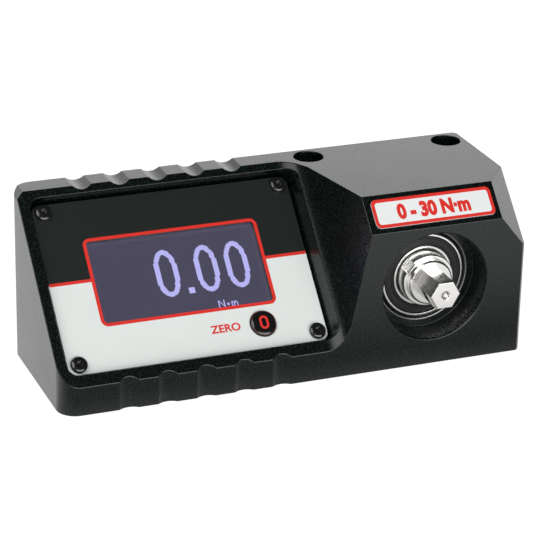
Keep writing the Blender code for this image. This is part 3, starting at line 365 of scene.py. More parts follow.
def platedMetal(name, colour, roughness, grainSize=0.8, metallic=1.0):
    finish = Finish(name, metallic=metallic)
    grain = finish.grain(grainSize, 3.0, 0.6)
    finish.paint(colour=finish.blend(grain, shade(colour, 0.88), shade(colour, 1.08)),
                 roughness=roughness * 0.8 + grain * (roughness * 0.5),
                 normal=finish.bump(grain, 0.003))
    return finish.material


def moulded(name, colour, roughness, grainSize=0.5, depth=0.006, coat=0.0):
    finish = Finish(name, coat=coat, coatRoughness=0.05)
    grain = finish.grain(grainSize, 2.0)
    cloud = finish.grain(8.0, 2.0)
    finish.paint(colour=finish.blend(cloud, shade(colour, 0.9), shade(colour, 1.1)),
                 roughness=roughness * 0.85 + grain * (roughness * 0.3),
                 normal=finish.bump(grain, depth))
    return finish.material


def printed(name, colour, roughness=0.35):
    # ink under a lightly textured polyester film
    finish = Finish(name)
    film = finish.grain(0.35, 2.0)
    cloud = finish.grain(20.0, 2.0)
    finish.paint(colour=finish.blend(cloud, shade(colour, 0.96), shade(colour, 1.03)),
                 roughness=roughness + film * 0.1,
                 normal=finish.bump(film, 0.0025))
    return finish.material


def glowing(name, colour, glow, strength, roughness=0.3, depth=0.002):
    finish = Finish(name, glowStrength=strength)
    grid = finish.grain(0.6, 1.0)
    cloud = finish.grain(25.0, 2.0)
    finish.paint(colour=colour, glow=finish.blend(cloud, shade(glow, 0.92), shade(glow, 1.06)),
                 roughness=roughness + grid * 0.08, normal=finish.bump(grid, depth))
    return finish.material


palette = dict(
    powder=(0.0014, 0.0044, 0.0036),
    darkField=linear(27, 33, 31),
    lightField=linear(224, 229, 226),
    red=linear(219, 47, 38),
    white=linear(232, 234, 234),
    screen=linear(80, 77, 96),
    digits=linear(192, 188, 250),
    nickel=(0.93, 0.915, 0.89),
    steel=(0.9, 0.9, 0.9),
)

finishes = dict(
    powder=powderCoat("powder coat", palette["powder"]),
    sheet=powderCoat("painted sheet", (0.018, 0.018, 0.019)),
    darkField=printed("dark print", palette["darkField"], 0.3),
    lightField=printed("light print", palette["lightField"], 0.38),
    redInk=printed("red print", palette["red"], 0.36),
    darkRed=moulded("dark red rim", (0.09, 0.004, 0.005), 0.25, 2.0, 0.001, 0.6),
    whiteLabel=printed("white label", palette["white"], 0.34),
    screen=glowing("display glass", (0.012, 0.010, 0.02), palette["screen"], 0.9, 0.16),
    digits=glowing("lit dots", (0.05, 0.05, 0.08), palette["digits"], 1.0),
    nickel=turnedMetal("nickel plate", palette["nickel"], 0.22),
    bearing=turnedMetal("bearing steel", palette["steel"], 0.24),
    machined=turnedMetal("machined seat", (0.22, 0.22, 0.22), 0.35),
    flange=turnedMetal("turned flange", (0.36, 0.36, 0.37), 0.34, 0.5, 0.002),
    zinc=platedMetal("zinc plate", (0.56, 0.56, 0.57), 0.36),
    blackSteel=platedMetal("black oxide", (0.03, 0.03, 0.031), 0.3, 0.5, 0.5),
    glossScrew=moulded("gloss black steel", (0.006, 0.006, 0.007), 0.2, 1.2, 0.001, 0.7),
    rubber=moulded("seal rubber", (0.006, 0.006, 0.0065), 0.4, 0.4, 0.004),
    glossButton=moulded("gloss black cap", (0.004, 0.004, 0.0045), 0.16, 2.0, 0.0008, 1.0),
    blackPlastic=moulded("black plastic", (0.015, 0.015, 0.016), 0.42),
    whitePlastic=moulded("white plastic", (0.72, 0.72, 0.69), 0.4),
    board=moulded("board laminate", (0.012, 0.11, 0.05), 0.35, 0.9, 0.01),
    brass=turnedMetal("cage brass", (0.66, 0.47, 0.22), 0.3),
    foil=platedMetal("gauge foil", (0.62, 0.40, 0.18), 0.4, 0.5, 0.4),
    lead=moulded("lead cover", (0.016, 0.016, 0.017), 0.45, 0.6, 0.006),
)
clear = Finish("clear window", colour=(0.92, 0.93, 0.96), transmission=1.0, ior=1.45)
clear.paint(roughness=0.02 + clear.grain(6.0, 2.0) * 0.02)
finishes["clear"] = clear.material
print("finishes:", len(finishes))


# Frames that the pieces sit in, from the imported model

bodyLow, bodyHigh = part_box("housing")
bodyLength, bodyDepth, bodyHeight = ((bodyHigh - bodyLow) / mm)
raceLow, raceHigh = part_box("bearing_outer_race")
driveAcross = ((raceLow.x + raceHigh.x) / 2 - bodyLow.x) / mm
driveUp = (raceLow.z + raceHigh.z) / 2 / mm
inletLow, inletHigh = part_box("supply_inlet")
inletAcross = ((inletLow.x + inletHigh.x) / 2 - bodyLow.x) / mm
inletUp = (inletLow.z + inletHigh.z) / 2 / mm

# what a maker would change on the housing, in millimetres and degrees, from its left front foot
housingSizes = dict(
    strip=10.6, topStrip=9.1, leftFront=7.0, leftBack=8.0, rightChamfer=1.3, topChamfer=(2.5, 2.0),
    blockStart=104.4, draft=15.4, footRadius=10.3, footHeight=5.95, footFlat=4.05, footFlatAngle=52.5,
    labelSlope=10.3, facetInset=18.5, facetReach=22.9, wall=4.0, frontWall=6.0, floor=3.0,
    hollowRight=100.0, edge=0.28)
grooves = dict(count=5, start=24.1, pitch=14.03, radius=5.5, depth=1.2)
panelSizes = dict(left=5.0, foot=5.8, blockSide=3.7, head=4.3, thickness=1.5, sink=3.6, radius=3.0,
                  clearance=0.5, pocketDraft=8.5, rightDraft=14.4, screwInset=3.9, screwInsetUp=3.4)
windowSizes = dict(left=16.5, foot=17.25, right=16.75, head=15.9, radius=1.3, thickness=1.0,
                   overlap=2.0, glassOverlap=2.2, glassThickness=1.5)
gap = 0.3
over = 4.0

rise = bodyHeight - housingSizes["strip"]
run = bodyDepth - housingSizes["topStrip"]
slopeAngle = math.atan2(rise, run)
slopeLength = math.hypot(rise, run)
panelRight = housingSizes["blockStart"] - panelSizes["blockSide"]
panelTop = slopeLength - panelSizes["head"]
pocketDepth = panelSizes["sink"] + panelSizes["thickness"] + gap

cornerFrame = Matrix.Translation((bodyLow.x, bodyLow.y, bodyLow.z))


def inBody(across, front, up, turn=0.0, axis="X"):
    # a frame at a place given in millimetres from the housing's left front foot
    spot = Matrix.Translation((across, front, up)) @ Matrix.Rotation(turn, 4, axis)
    return spot


slopeSpot = inBody(0, 0, housingSizes["strip"], slopeAngle)
driveSpot = inBody(driveAcross, 0, driveUp, math.pi / 2)
inletSpot = inBody(inletAcross, bodyDepth, inletUp, -math.pi / 2)
labelSpot = inBody(138.0, housingSizes["labelSlope"] / 2, bodyHeight - housingSizes["labelSlope"] / 2, math.pi / 4)


def inMetres(spot):
    return cornerFrame @ Matrix.Translation(spot.translation * mm) @ spot.to_3x3().to_4x4()


slopeFrame = inMetres(slopeSpot)
driveFrame = inMetres(driveSpot)
inletFrame = inMetres(inletSpot)
labelFrame = inMetres(labelSpot)


# Housing

def bodyOutline():
    size = housingSizes
    quarter = math.pi / 2
    front = arcPoints((size["leftFront"], size["leftFront"]), size["leftFront"], 2 * quarter, 3 * quarter, 20)
    chamfer = size["rightChamfer"]
    right = [(bodyLength - chamfer, 0), (bodyLength, chamfer), (bodyLength, bodyDepth - chamfer),
             (bodyLength - chamfer, bodyDepth)]
    back = arcPoints((size["leftBack"], bodyDepth - size["leftBack"]), size["leftBack"], quarter, 2 * quarter, 20)
    return front + right + back


def displayAir():
    # what the slope leaves open, up to the block's drafted wall and the sweep at the wall's foot
    size = housingSizes
    lean = math.tan(math.radians(size["draft"]))
    flat = math.radians(size["footFlatAngle"])
    wallFoot = (size["blockStart"] + size["footHeight"] * lean, size["footHeight"])
    arcEnd = (wallFoot[0] - size["footFlat"] * math.cos(flat), wallFoot[1] - size["footFlat"] * math.sin(flat))
    turn = math.acos(1 - arcEnd[1] / size["footRadius"])
    foot = arcEnd[0] - size["footRadius"] * math.sin(turn)
    sweep = arcPoints((foot, size["footRadius"]), size["footRadius"], -math.pi / 2, -math.pi / 2 + turn, 14)
    reach = bodyHeight + bodyDepth
    outline = [(-over, 0), *sweep, wallFoot, (size["blockStart"] + reach * lean, reach), (-over, reach)]
    return moved(prism("displayAir", outline, -3 * over, slopeLength + 3 * over, "Y"), slopeSpot)


def beyond(point, normal):
    # a big block on the far side of a plane
    normal = Vector(normal).normalized()
    half = 2 * bodyLength
    block = prism("beyond", roundedBox(-half, -half, half, half, 1.0, 1), 0, half)
    return moved(block, Matrix.Translation(point) @ normal.to_track_quat("Z", "Y").to_matrix().to_4x4())


def pocket():
    size = panelSizes
    rise = pocketDepth + housingSizes["footHeight"]
    side = math.tan(math.radians(size["pocketDraft"])) * rise
    rightSide = math.tan(math.radians(size["rightDraft"])) * rise
    left, foot = size["left"] - size["clearance"], size["foot"] - size["clearance"]
    right, top = panelRight + size["clearance"], panelTop + size["clearance"]
    radius = size["radius"] + size["clearance"]
    floor = roundedBox(left, foot, right, top, radius, 12)
    mouth = roundedBox(left - side, foot - side, right + rightSide, top + side, radius + side, 12)
    return moved(loft("pocket", floor, mouth, -pocketDepth, rise - pocketDepth), slopeSpot)


bossSizes = dict(radius=4.6, bite=0.4, height=11.0, screwRadius=1.5, screwLength=7.6, plate=2.7)


def bossSpots():
    inset = bossSizes["radius"] - bossSizes["bite"]
    left, right = housingSizes["wall"], housingSizes["hollowRight"]
    columns = (left + inset, (left + right) / 2, right - inset)
    rows = (housingSizes["frontWall"] + inset, bodyDepth - housingSizes["wall"] - inset)
    return [(x, y) for x in columns for y in rows]


def room():
    # the hollow under the display, open at the base
    size = housingSizes
    front, back = size["frontWall"], bodyDepth - size["wall"]
    ceiling = size["strip"] - (pocketDepth + size["floor"]) / math.cos(slopeAngle)
    climb = math.tan(slopeAngle)
    outline = [(front, -over), (back, -over), (back, ceiling + back * climb), (front, ceiling + front * climb)]
    space = prism("room", outline, size["wall"], size["hollowRight"], "X")
    bosses = [rod("boss", bossSizes["radius"], bossSizes["plate"] + gap, bossSizes["height"], centre=spot, steps=32)
              for spot in bossSpots()]
    return cut(space, joined("bosses", bosses))


drive = dict(recess=20.0, depth=11.0, chamfer=0.5, seatChamfer=0.7, tunnel=15.0, flange=19.3, flangeThickness=5.7,
             flangeBoss=12.2, flangeBossLength=5.0, screwCircle=16.0, screwRadius=2.0, screwLength=10.0)
bearing = dict(bore=10.0, outer=16.0, width=10.0, innerLand=11.2, outerLand=14.9, ball=1.75,
               sealThickness=0.8, sealSink=0.25)
flangeSeat = bodyDepth - drive["flangeThickness"] - gap


def driveBore():
    seat = bearing["outer"] + gap
    back = drive["depth"] + bearing["width"] + gap
    neck = drive["flangeBoss"] + gap
    step = flangeSeat - drive["screwLength"] - 2.0
    rim = drive["flange"] + gap
    chamfer = drive["chamfer"]
    depths = [(0, -over), (drive["recess"] + chamfer + over, -over), (drive["recess"], chamfer),
              (drive["recess"], drive["depth"]), (seat + drive["seatChamfer"], drive["depth"]),
              (seat, drive["depth"] + drive["seatChamfer"]), (seat, back), (drive["tunnel"], back),
              (drive["tunnel"], step), (neck, step), (neck, flangeSeat), (rim, flangeSeat),
              (rim, bodyDepth + over), (0, bodyDepth + over)]
    return moved(turned("driveBore", [(radius, -depth) for radius, depth in depths]), driveSpot)


def flangeScrewSpots():
    return [(drive["screwCircle"] * math.cos(math.radians(45 + 90 * i)),
             drive["screwCircle"] * math.sin(math.radians(45 + 90 * i))) for i in range(4)]


def panelScrewSpots():
    across = (panelSizes["left"] + panelSizes["screwInset"], panelRight - panelSizes["screwInset"])
    up = (panelSizes["foot"] + panelSizes["screwInsetUp"], panelTop - panelSizes["screwInsetUp"])
    return [(x, y) for x in across for y in up]


boltHoles = dict(radius=5.5, spacing=55.0, backWall=2.0)
inlet = dict(neck=4.2, bore=3.2, boreDepth=9.0, rim=5.7, rimThickness=1.2, length=13.5, pin=1.0)


def makeHousing():
    size = housingSizes
    body = prism("housingShell", bodyOutline(), 0, bodyHeight)
    cut(body, displayAir())
    label = size["labelSlope"]
    reach = over + label
    wedge = [(-reach, bodyHeight - label - reach), (label + reach, bodyHeight + reach), (-reach, bodyHeight + reach)]
    cut(body, prism("labelWedge", wedge, -reach, bodyLength + reach, "X"))
    ratio = size["facetInset"] / size["facetReach"]
    cut(body, beyond((bodyLength - size["facetInset"], 0, bodyHeight), (1, -ratio, ratio)))
    width, drop = size["topChamfer"]
    cut(body, beyond((width, 0, bodyHeight), (-drop, 0, width)))

    offset = grooves["radius"] - grooves["depth"]
    scoops = []
    for i in range(grooves["count"]):
        x = grooves["start"] + i * grooves["pitch"]
        scoops.append(rod("frontScoop", grooves["radius"], -over, size["strip"] + over,
                          centre=(x, -offset), steps=72))
        scoops.append(rod("topScoop", grooves["radius"], bodyDepth / 2, bodyDepth + over, "Y",
                          centre=(x, bodyHeight + offset), steps=72))
    cut(body, joined("scoops", scoops))
    cut(body, pocket())
    cut(body, room())

    across, up = 8.5, 2.6
    opening = roundedBox(panelSizes["left"] + across, panelSizes["foot"] + up, panelRight - across, panelTop - up,
                         panelSizes["radius"], 6)
    deep = pocketDepth + size["floor"] + gap
    holes = [moved(prism("opening", opening, -deep, -pocketDepth + gap), slopeSpot)]
    holes += [moved(rod("screwHole", 1.8, -deep - gap, -1.0, centre=spot, steps=24), slopeSpot)
              for spot in panelScrewSpots()]
    cut(body, joined("holes", holes))
    cut(body, joined("bossHoles", [rod("bossHole", bossSizes["screwRadius"] + gap, 0,
                                       bossSizes["screwLength"] + 2 * gap, centre=spot, steps=24)
                                   for spot in bossSpots()]))
    cut(body, driveBore())
    cut(body, joined("flangeHoles", [
        moved(rod("flangeHole", drive["screwRadius"] + gap, -flangeSeat - gap, drive["screwLength"] - flangeSeat,
                  centre=spot, steps=24), driveSpot) for spot in flangeScrewSpots()]))
    back = bodyDepth - boltHoles["backWall"] - boltHoles["radius"]
    cut(body, joined("boltHoles", [
        rod("boltHole", boltHoles["radius"], -over, bodyHeight + over,
            centre=(driveAcross + side * boltHoles["spacing"] / 2, back), steps=80) for side in (-1, 1)]))
    for radius, start in ((inlet["neck"] + gap, bodyDepth - size["wall"] - 1.0),
                          (inlet["rim"] + gap, bodyDepth - inlet["rimThickness"] - gap)):
        cut(body, rod("inletHole", radius, start, bodyDepth + over, "Y", centre=(inletAcross, inletUp), steps=48))
    softened(body, size["edge"])
    placed(body, cornerFrame, finishes["powder"], "housing", ["housing"])
    body.data.materials.append(finishes["machined"])
    toDrive = driveSpot.inverted()
    rim = bearing["outer"] + gap + drive["seatChamfer"]
    for polygon in body.data.polygons:
        across, up, out = toDrive @ (polygon.center / mm)
        polygon.material_index = int(abs(math.hypot(across, up) - rim) < 0.2 and abs(out + drive["depth"]) < 0.2)
    print("housing:", len(body.data.polygons), "faces")


# Panel, its print and its screws

printSizes = dict(
    film=0.05,
    line=1.2,          # red line round the window
    frameRadius=2.6,
    divider=39.47,     # height of the line between the dark and the light field
    dividerWidth=1.15,
)
buttonSizes = dict(fromRight=22.8, up=9.15, radius=4.6, rise=0.7, crown=0.7, rim=5.5, flange=1.0, ring=0.3,
                   figureWidth=3.3, figureHeight=5.0, figureStroke=0.85)
screwSizes = dict(radius=3.0, height=1.65, skirt=0.45, shank=1.5, length=5.0, socket=2.0)


def windowOutline(grow, radius, steps=10):
    size = windowSizes
    return roundedBox(panelSizes["left"] + size["left"] - grow, panelSizes["foot"] + size["foot"] - grow,
                      panelRight - size["right"] + grow, panelTop - size["head"] + grow, radius, steps)


def buttonSpot():
    return (panelRight - buttonSizes["fromRight"], panelSizes["foot"] + buttonSizes["up"])


def onPanel(piece, finish, nodes=()):
    return placed(piece, slopeFrame, finish, "housing", nodes)


def makePanel():
    size = panelSizes
    face = -size["sink"]
    back = face - size["thickness"]
    plate = prism("panelPlate", roundedBox(size["left"], size["foot"], panelRight, panelTop, size["radius"]), back, face)
    holes = [prism("windowHole", windowOutline(0, windowSizes["radius"]), back - 1, face + 1),
             rod("buttonHole", buttonSizes["radius"] + gap, back - 1, face + 1, centre=buttonSpot(), steps=72)]
    holes += [rod("panelHole", screwSizes["shank"] + gap, back - 1, face + 1, centre=spot, steps=32)
              for spot in panelScrewSpots()]
    cut(plate, joined("panelHoles", holes))
    line = printSizes["divider"]
    onPanel(splitAt(softened(plate, 0.15, 1), line), finishes["darkField"], nodes=["display_panel"])
    plate.data.materials.append(finishes["lightField"])
    window = windowOutline(0.1, windowSizes["radius"])
    sides, heights = [u for u, v in window], [v for u, v in window]
    for polygon in plate.data.polygons:
        across, up, deep = polygon.center / mm
        inWindow = min(sides) < across < max(sides) and min(heights) < up < max(heights)
        polygon.material_index = int(up < line and deep > back + 0.2 and not inWindow)

    film = printSizes["film"]
    edge = 0.2
    half = printSizes["dividerWidth"] / 2
    outer = windowOutline(printSizes["line"], printSizes["frameRadius"])
    inner = windowOutline(0, windowSizes["radius"])
    onPanel(ringPlate("windowLine", outer, inner, face, face + film), finishes["redInk"])

    frameLeft = size["left"] + windowSizes["left"] - printSizes["line"]
    frameRight = panelRight - windowSizes["right"] + printSizes["line"]
    for name, left, right in (("dividerLeft", size["left"] + edge, frameLeft),
                              ("dividerRight", frameRight, panelRight - edge)):
        bar = [(left, line - half), (right, line - half), (right, line + half), (left, line + half)]
        onPanel(prism(name, bar, face, face + 1.3 * film), finishes["redInk"])
    print("panel: print laid")


def makePanelScrews():
    size = screwSizes
    start = -panelSizes["sink"] + gap
    crown = size["height"] - size["skirt"]
    # a fuller curve than an ellipse: a nearly flat top with a tight shoulder
    dome = [(size["radius"] * math.cos(a) ** 0.6, start + size["skirt"] + crown * math.sin(a) ** 0.6)
            for a in (math.radians(75 * i / 10) for i in range(11))]
    profile = [(0, start - size["length"]), (size["shank"], start - size["length"]), (size["shank"], start),
               (size["radius"], start), *dome, (0, start + size["height"])]
    for i, spot in enumerate(panelScrewSpots()):
        screw = turned(f"panelScrew{i + 1}", profile, 48)
        socket = prism("socket", hexagonPoints(size["socket"]), start + size["height"] / 3, start + 2 * size["height"])
        cut(screw, socket)
        moved(softened(screw, 0.1, 2, 35), Matrix.Translation((*spot, 0)))
        onPanel(screw, finishes["glossScrew"], [f"panel_screw_{i + 1}"])
    print("panel screws: 4")


# Display

digitSizes = dict(
    pitch=0.47,                       # one dot of the display
    foot=30.5, height=17.8, width=8.3, stroke=1.8, bend=1.65,
    lefts=(44.6, 59.5, 70.9),         # left edges of the three figures
    pointLeft=55.2, pointSide=2.2,
    unitLeft=64.6, unitFoot=23.7, unitDot=0.4,
)
unitDots = dict(
    N=("X....X", "XX...X", "X.X..X", "X..X.X", "X...XX", "X....X", "X....X"),
    point=("..", "..", "..", "XX", "XX", "..", ".."),
    m=(".......", ".......", "XX.XX..", "X.XX.X.", "X.X..X.", "X.X..X.", "X.X..X."),
)


def dotTiles(name, cells, pitch, low, high):
    # square dots that touch, as one plate
    bm = bmesh.new()
    corners = {}

    def corner(i, j, height):
        key = (i, j, height)
        if key not in corners:
            corners[key] = bm.verts.new((i * pitch[0] + cells["left"], j * pitch[1] + cells["foot"], height))
        return corners[key]

    lit = cells["lit"]
    for i, j in sorted(lit):
        for height, order in ((high, 1), (low, -1)):
            ring = [corner(i, j, height), corner(i + 1, j, height), corner(i + 1, j + 1, height), corner(i, j + 1, height)]
            bm.faces.new(ring[::order])
        for di, dj, first, second in ((0, -1, (0, 0), (1, 0)), (1, 0, (1, 0), (1, 1)), (0, 1, (1, 1), (0, 1)),
                                      (-1, 0, (0, 1), (0, 0))):
            if (i + di, j + dj) not in lit:
                a, b = (i + first[0], j + first[1]), (i + second[0], j + second[1])
                bm.faces.new([corner(*a, low), corner(*b, low), corner(*b, high), corner(*a, high)])
    return toPiece(name, bm)


def zeroCells(left):
    size = digitSizes
    pitch = size["pitch"]
    columns, rows = round(size["width"] / pitch), round(size["height"] / pitch)
    halfWidth, halfHeight = size["width"] / 2, size["height"] / 2
    straight = halfHeight - halfWidth * size["bend"]
    lit = set()
    for i in range(columns):
        for j in range(rows):
            x, y = (i + 0.5) * pitch - halfWidth, (j + 0.5) * pitch - halfHeight
            y = max(0.0, abs(y) - straight)
            outer = math.hypot(x / halfWidth, y / (halfWidth * size["bend"]))
            inside = halfWidth - size["stroke"]
            inner = math.hypot(x / inside, y / (halfWidth * size["bend"] - size["stroke"]))
            if outer <= 1 <= inner:
                lit.add((i, j))
    return dict(left=left, foot=size["foot"], lit=lit)


def glyphCells(rows, left, foot):
    lit = {(i, len(rows) - 1 - j) for j, row in enumerate(rows) for i, dot in enumerate(row) if dot == "X"}
    return dict(left=left, foot=foot, lit=lit)


def makeDisplay():
    size = windowSizes
    glassTop = pocketDepth + size["thickness"] + gap
    pane = prism("windowPane", windowOutline(size["overlap"], size["radius"]), -pocketDepth - size["thickness"],
                 -pocketDepth)
    onPanel(softened(pane, 0.12, 1), finishes["clear"], ["display_window"])
    glass = prism("displayGlass", windowOutline(size["glassOverlap"], size["radius"]),
                  -glassTop - size["glassThickness"], -glassTop)
    onPanel(softened(glass, 0.1, 1), finishes["screen"], ["lcd_glass"])

    low, high = -glassTop + 0.01, -glassTop + 0.06
    dots = digitSizes
    pitch = (dots["pitch"], dots["pitch"])
    pieces = [dotTiles("figure", zeroCells(left), pitch, low, high) for left in dots["lefts"]]
    side = dots["pointSide"]
    corner = (dots["pointLeft"], dots["foot"] + 0.3)
    pieces.append(prism("point", [corner, (corner[0] + side, corner[1]), (corner[0] + side, corner[1] + side),
                                  (corner[0], corner[1] + side)], low, high))
    left = dots["unitLeft"]
    unit = (dots["unitDot"], dots["unitDot"] * 1.1)
    for key, rows in unitDots.items():
        pieces.append(dotTiles("unit", glyphCells(rows, left, dots["unitFoot"]), unit, low, high))
        left += (len(rows[0]) + 2) * unit[0]
    onPanel(joined("litDots", pieces), finishes["digits"])
    print("display: figures lit")


# Lettering

def lettering(name, words, width, capHeight, thickness, weight=0.0):
    # words as a thin plate centred on the origin, stretched to that size in millimetres
    curve = bpy.data.curves.new(name, "FONT")
    curve.body = words
    curve.size = 10.0
    curve.extrude = 0.5
    curve.offset = weight
    curve.resolution_u = 6
    text = bpy.data.objects.new(name, curve)
    bpy.context.scene.collection.objects.link(text)
    bpy.context.view_layer.update()
    mesh = bpy.data.meshes.new_from_object(text.evaluated_get(bpy.context.evaluated_depsgraph_get()))
    bpy.data.objects.remove(text, do_unlink=True)
    spots = [vertex.co for vertex in mesh.vertices]
    low = Vector((min(p.x for p in spots), min(p.y for p in spots), min(p.z for p in spots)))
    high = Vector((max(p.x for p in spots), max(p.y for p in spots), max(p.z for p in spots)))
    span = high - low
    mesh.transform(Matrix.Diagonal((width / span.x, capHeight / span.y, thickness / span.z, 1))
                   @ Matrix.Translation(-(low + high) / 2))
    piece = bpy.data.objects.new(name, mesh)
    bpy.context.scene.collection.objects.link(piece)
    return piece


# Zero button

def makeButton():
    size = buttonSizes
    face = -panelSizes["sink"] + size["rise"]
    low = -pocketDepth - size["flange"]
    crown = [(size["radius"] * math.cos(a), face + size["crown"] * math.sin(a))
             for a in (math.radians(84 * i / 14) for i in range(15))]
    profile = [(0, low), (size["rim"], low), (size["rim"], -pocketDepth), (size["radius"], -pocketDepth), *crown,
               (0, face + size["crown"])]
    spot = Matrix.Translation((*buttonSpot(), 0))
    cap = moved(rounded(turned("buttonCap", profile, 96), 35), spot)
    placed(cap, slopeFrame, finishes["glossButton"], "button", ["zero_button"])

    middle = size["radius"] - size["ring"] / 2
    high = face + size["crown"] * math.sqrt(1 - (middle / size["radius"]) ** 2)
    band = [(middle + size["ring"] / 2 * math.cos(a), high + size["ring"] / 2 * math.sin(a))
            for a in (math.tau * i / 12 for i in range(12))]
    ring = moved(rounded(turned("buttonRing", band, 96), 80), spot)
    placed(ring, slopeFrame, finishes["darkRed"], "button")

    top = face + size["crown"]
    half, tall = size["figureWidth"] / 2, size["figureHeight"] / 2
    inner = size["figureStroke"]
    figure = ringPlate("buttonFigure", roundedBox(-half, -tall, half, tall, half - 0.01, 12),
                       roundedBox(inner - half, inner - tall, half - inner, tall - inner, half - inner - 0.01, 12),
                       top - 0.25, top + 0.03)
    placed(moved(figure, spot), slopeFrame, finishes["redInk"], "button")
    word = moved(lettering("zeroWord", "ZERO", 11.0, 3.0, printSizes["film"], 0.22),
                 Matrix.Translation((63.9, 15.2, -panelSizes["sink"] + 1.5 * printSizes["film"])))
    onPanel(word, finishes["redInk"])
    print("zero button: cap, ring and figure")


# Range label

labelSizes = dict(width=46.0, height=10.9, thickness=0.4, radius=2.0, gap=0.1, border=1.2, inset=0.05,
                  wordsWidth=28.0, wordsHeight=6.0, weight=0.55, words="0 - 30 N·m")


def makeLabel():
    size = labelSizes
    half, high = size["width"] / 2, size["height"] / 2
    top = size["gap"] + size["thickness"]
    plate = prism("labelPlate", roundedBox(-half, -high, half, high, size["radius"]), size["gap"], top)
    placed(softened(plate, 0.08, 1), labelFrame, finishes["whiteLabel"], "housing", ["range_label"])
    inset, border = size["inset"], size["border"]
    outer = roundedBox(inset - half, inset - high, half - inset, high - inset, size["radius"] - inset)
    wide = inset + border
    inner = roundedBox(wide - half, wide - high, half - wide, high - wide, size["radius"] - wide + 0.4)
    line = ringPlate("labelLine", outer, inner, top, top + 0.04)
    placed(line, labelFrame, finishes["redInk"], "housing")
    words = lettering("labelWords", size["words"], size["wordsWidth"], size["wordsHeight"], 0.04, size["weight"])
    moved(words, Matrix.Translation((0, 0, top + 0.03)))
    placed(words, labelFrame, finishes["redInk"], "housing")
    print("range label: done")


# Bearing

def raceProfile(bore, land, isInner):
    size = bearing
    half = size["width"] / 2
    circle = (size["innerLand"] + size["outerLand"]) / 2
    groove = size["ball"] + gap
    spread = math.acos(abs(circle - land) / groove)
    facing = math.pi if isInner else 0
    curve = [(circle + groove * math.cos(facing + a), groove * math.sin(facing + a))
             for a in (spread * (i / 6 - 1) for i in range(13))]
    if isInner:
        curve = curve[::-1]
    edge = 0.4
    side = edge if isInner else -edge
    return [(bore, -half + edge), (bore + side, -half), (land, -half), *curve, (land, half), (bore + side, half),
            (bore, half - edge)]


def makeBearing():
    size = bearing
    middle = Matrix.Translation((0, 0, -drive["depth"] - size["width"] / 2))
    inner = softened(turned("innerRace", raceProfile(size["bore"], size["innerLand"], True)), 0.15)
    placed(moved(inner, middle), driveFrame, finishes["bearing"], "drive", ["bearing_inner_race"])
    outer = softened(turned("outerRace", raceProfile(size["outer"], size["outerLand"], False)), 0.15)
    placed(moved(outer, middle), driveFrame, finishes["bearing"], "housing", ["bearing_outer_race"])
    half = size["width"] / 2
    low, high = size["innerLand"] + gap, size["outerLand"] - gap
    for name, node, side in (("frontSeal", "bearing_front_seal", 1), ("rearSeal", "bearing_rear_seal", -1)):
        near, far = side * (half - size["sealSink"]), side * (half - size["sealSink"] - size["sealThickness"])
        dip = near - side * 0.2
        span = high - low
        ring = [(low, near), (low + 0.18 * span, near), (low + 0.24 * span, dip), (high - 0.24 * span, dip),
                (high - 0.18 * span, near), (high, near), (high, far), (low, far)]
        seal = moved(softened(turned(name, ring), 0.08), middle)
        placed(seal, driveFrame, finishes["rubber"], "housing", [node])
    print("bearing: races and seals")


# Torque shaft

shaft = dict(acrossFlats=10.0, standOut=8.3, chamfer=0.35, centreHole=1.25, centreDepth=4.0, hubDepth=3.6, hub=8.3,
             hubChamfer=0.6, hubLength=2.3, journal=9.7, slotWidth=4.2, slotDepth=1.2, slotAngle=142,
             shoulder=10.9, shoulderLength=3.5, gauge=5.5, gaugeLength=18.0, fillet=3.0, tailFlats=14.0,
             tailEngagement=5.3)


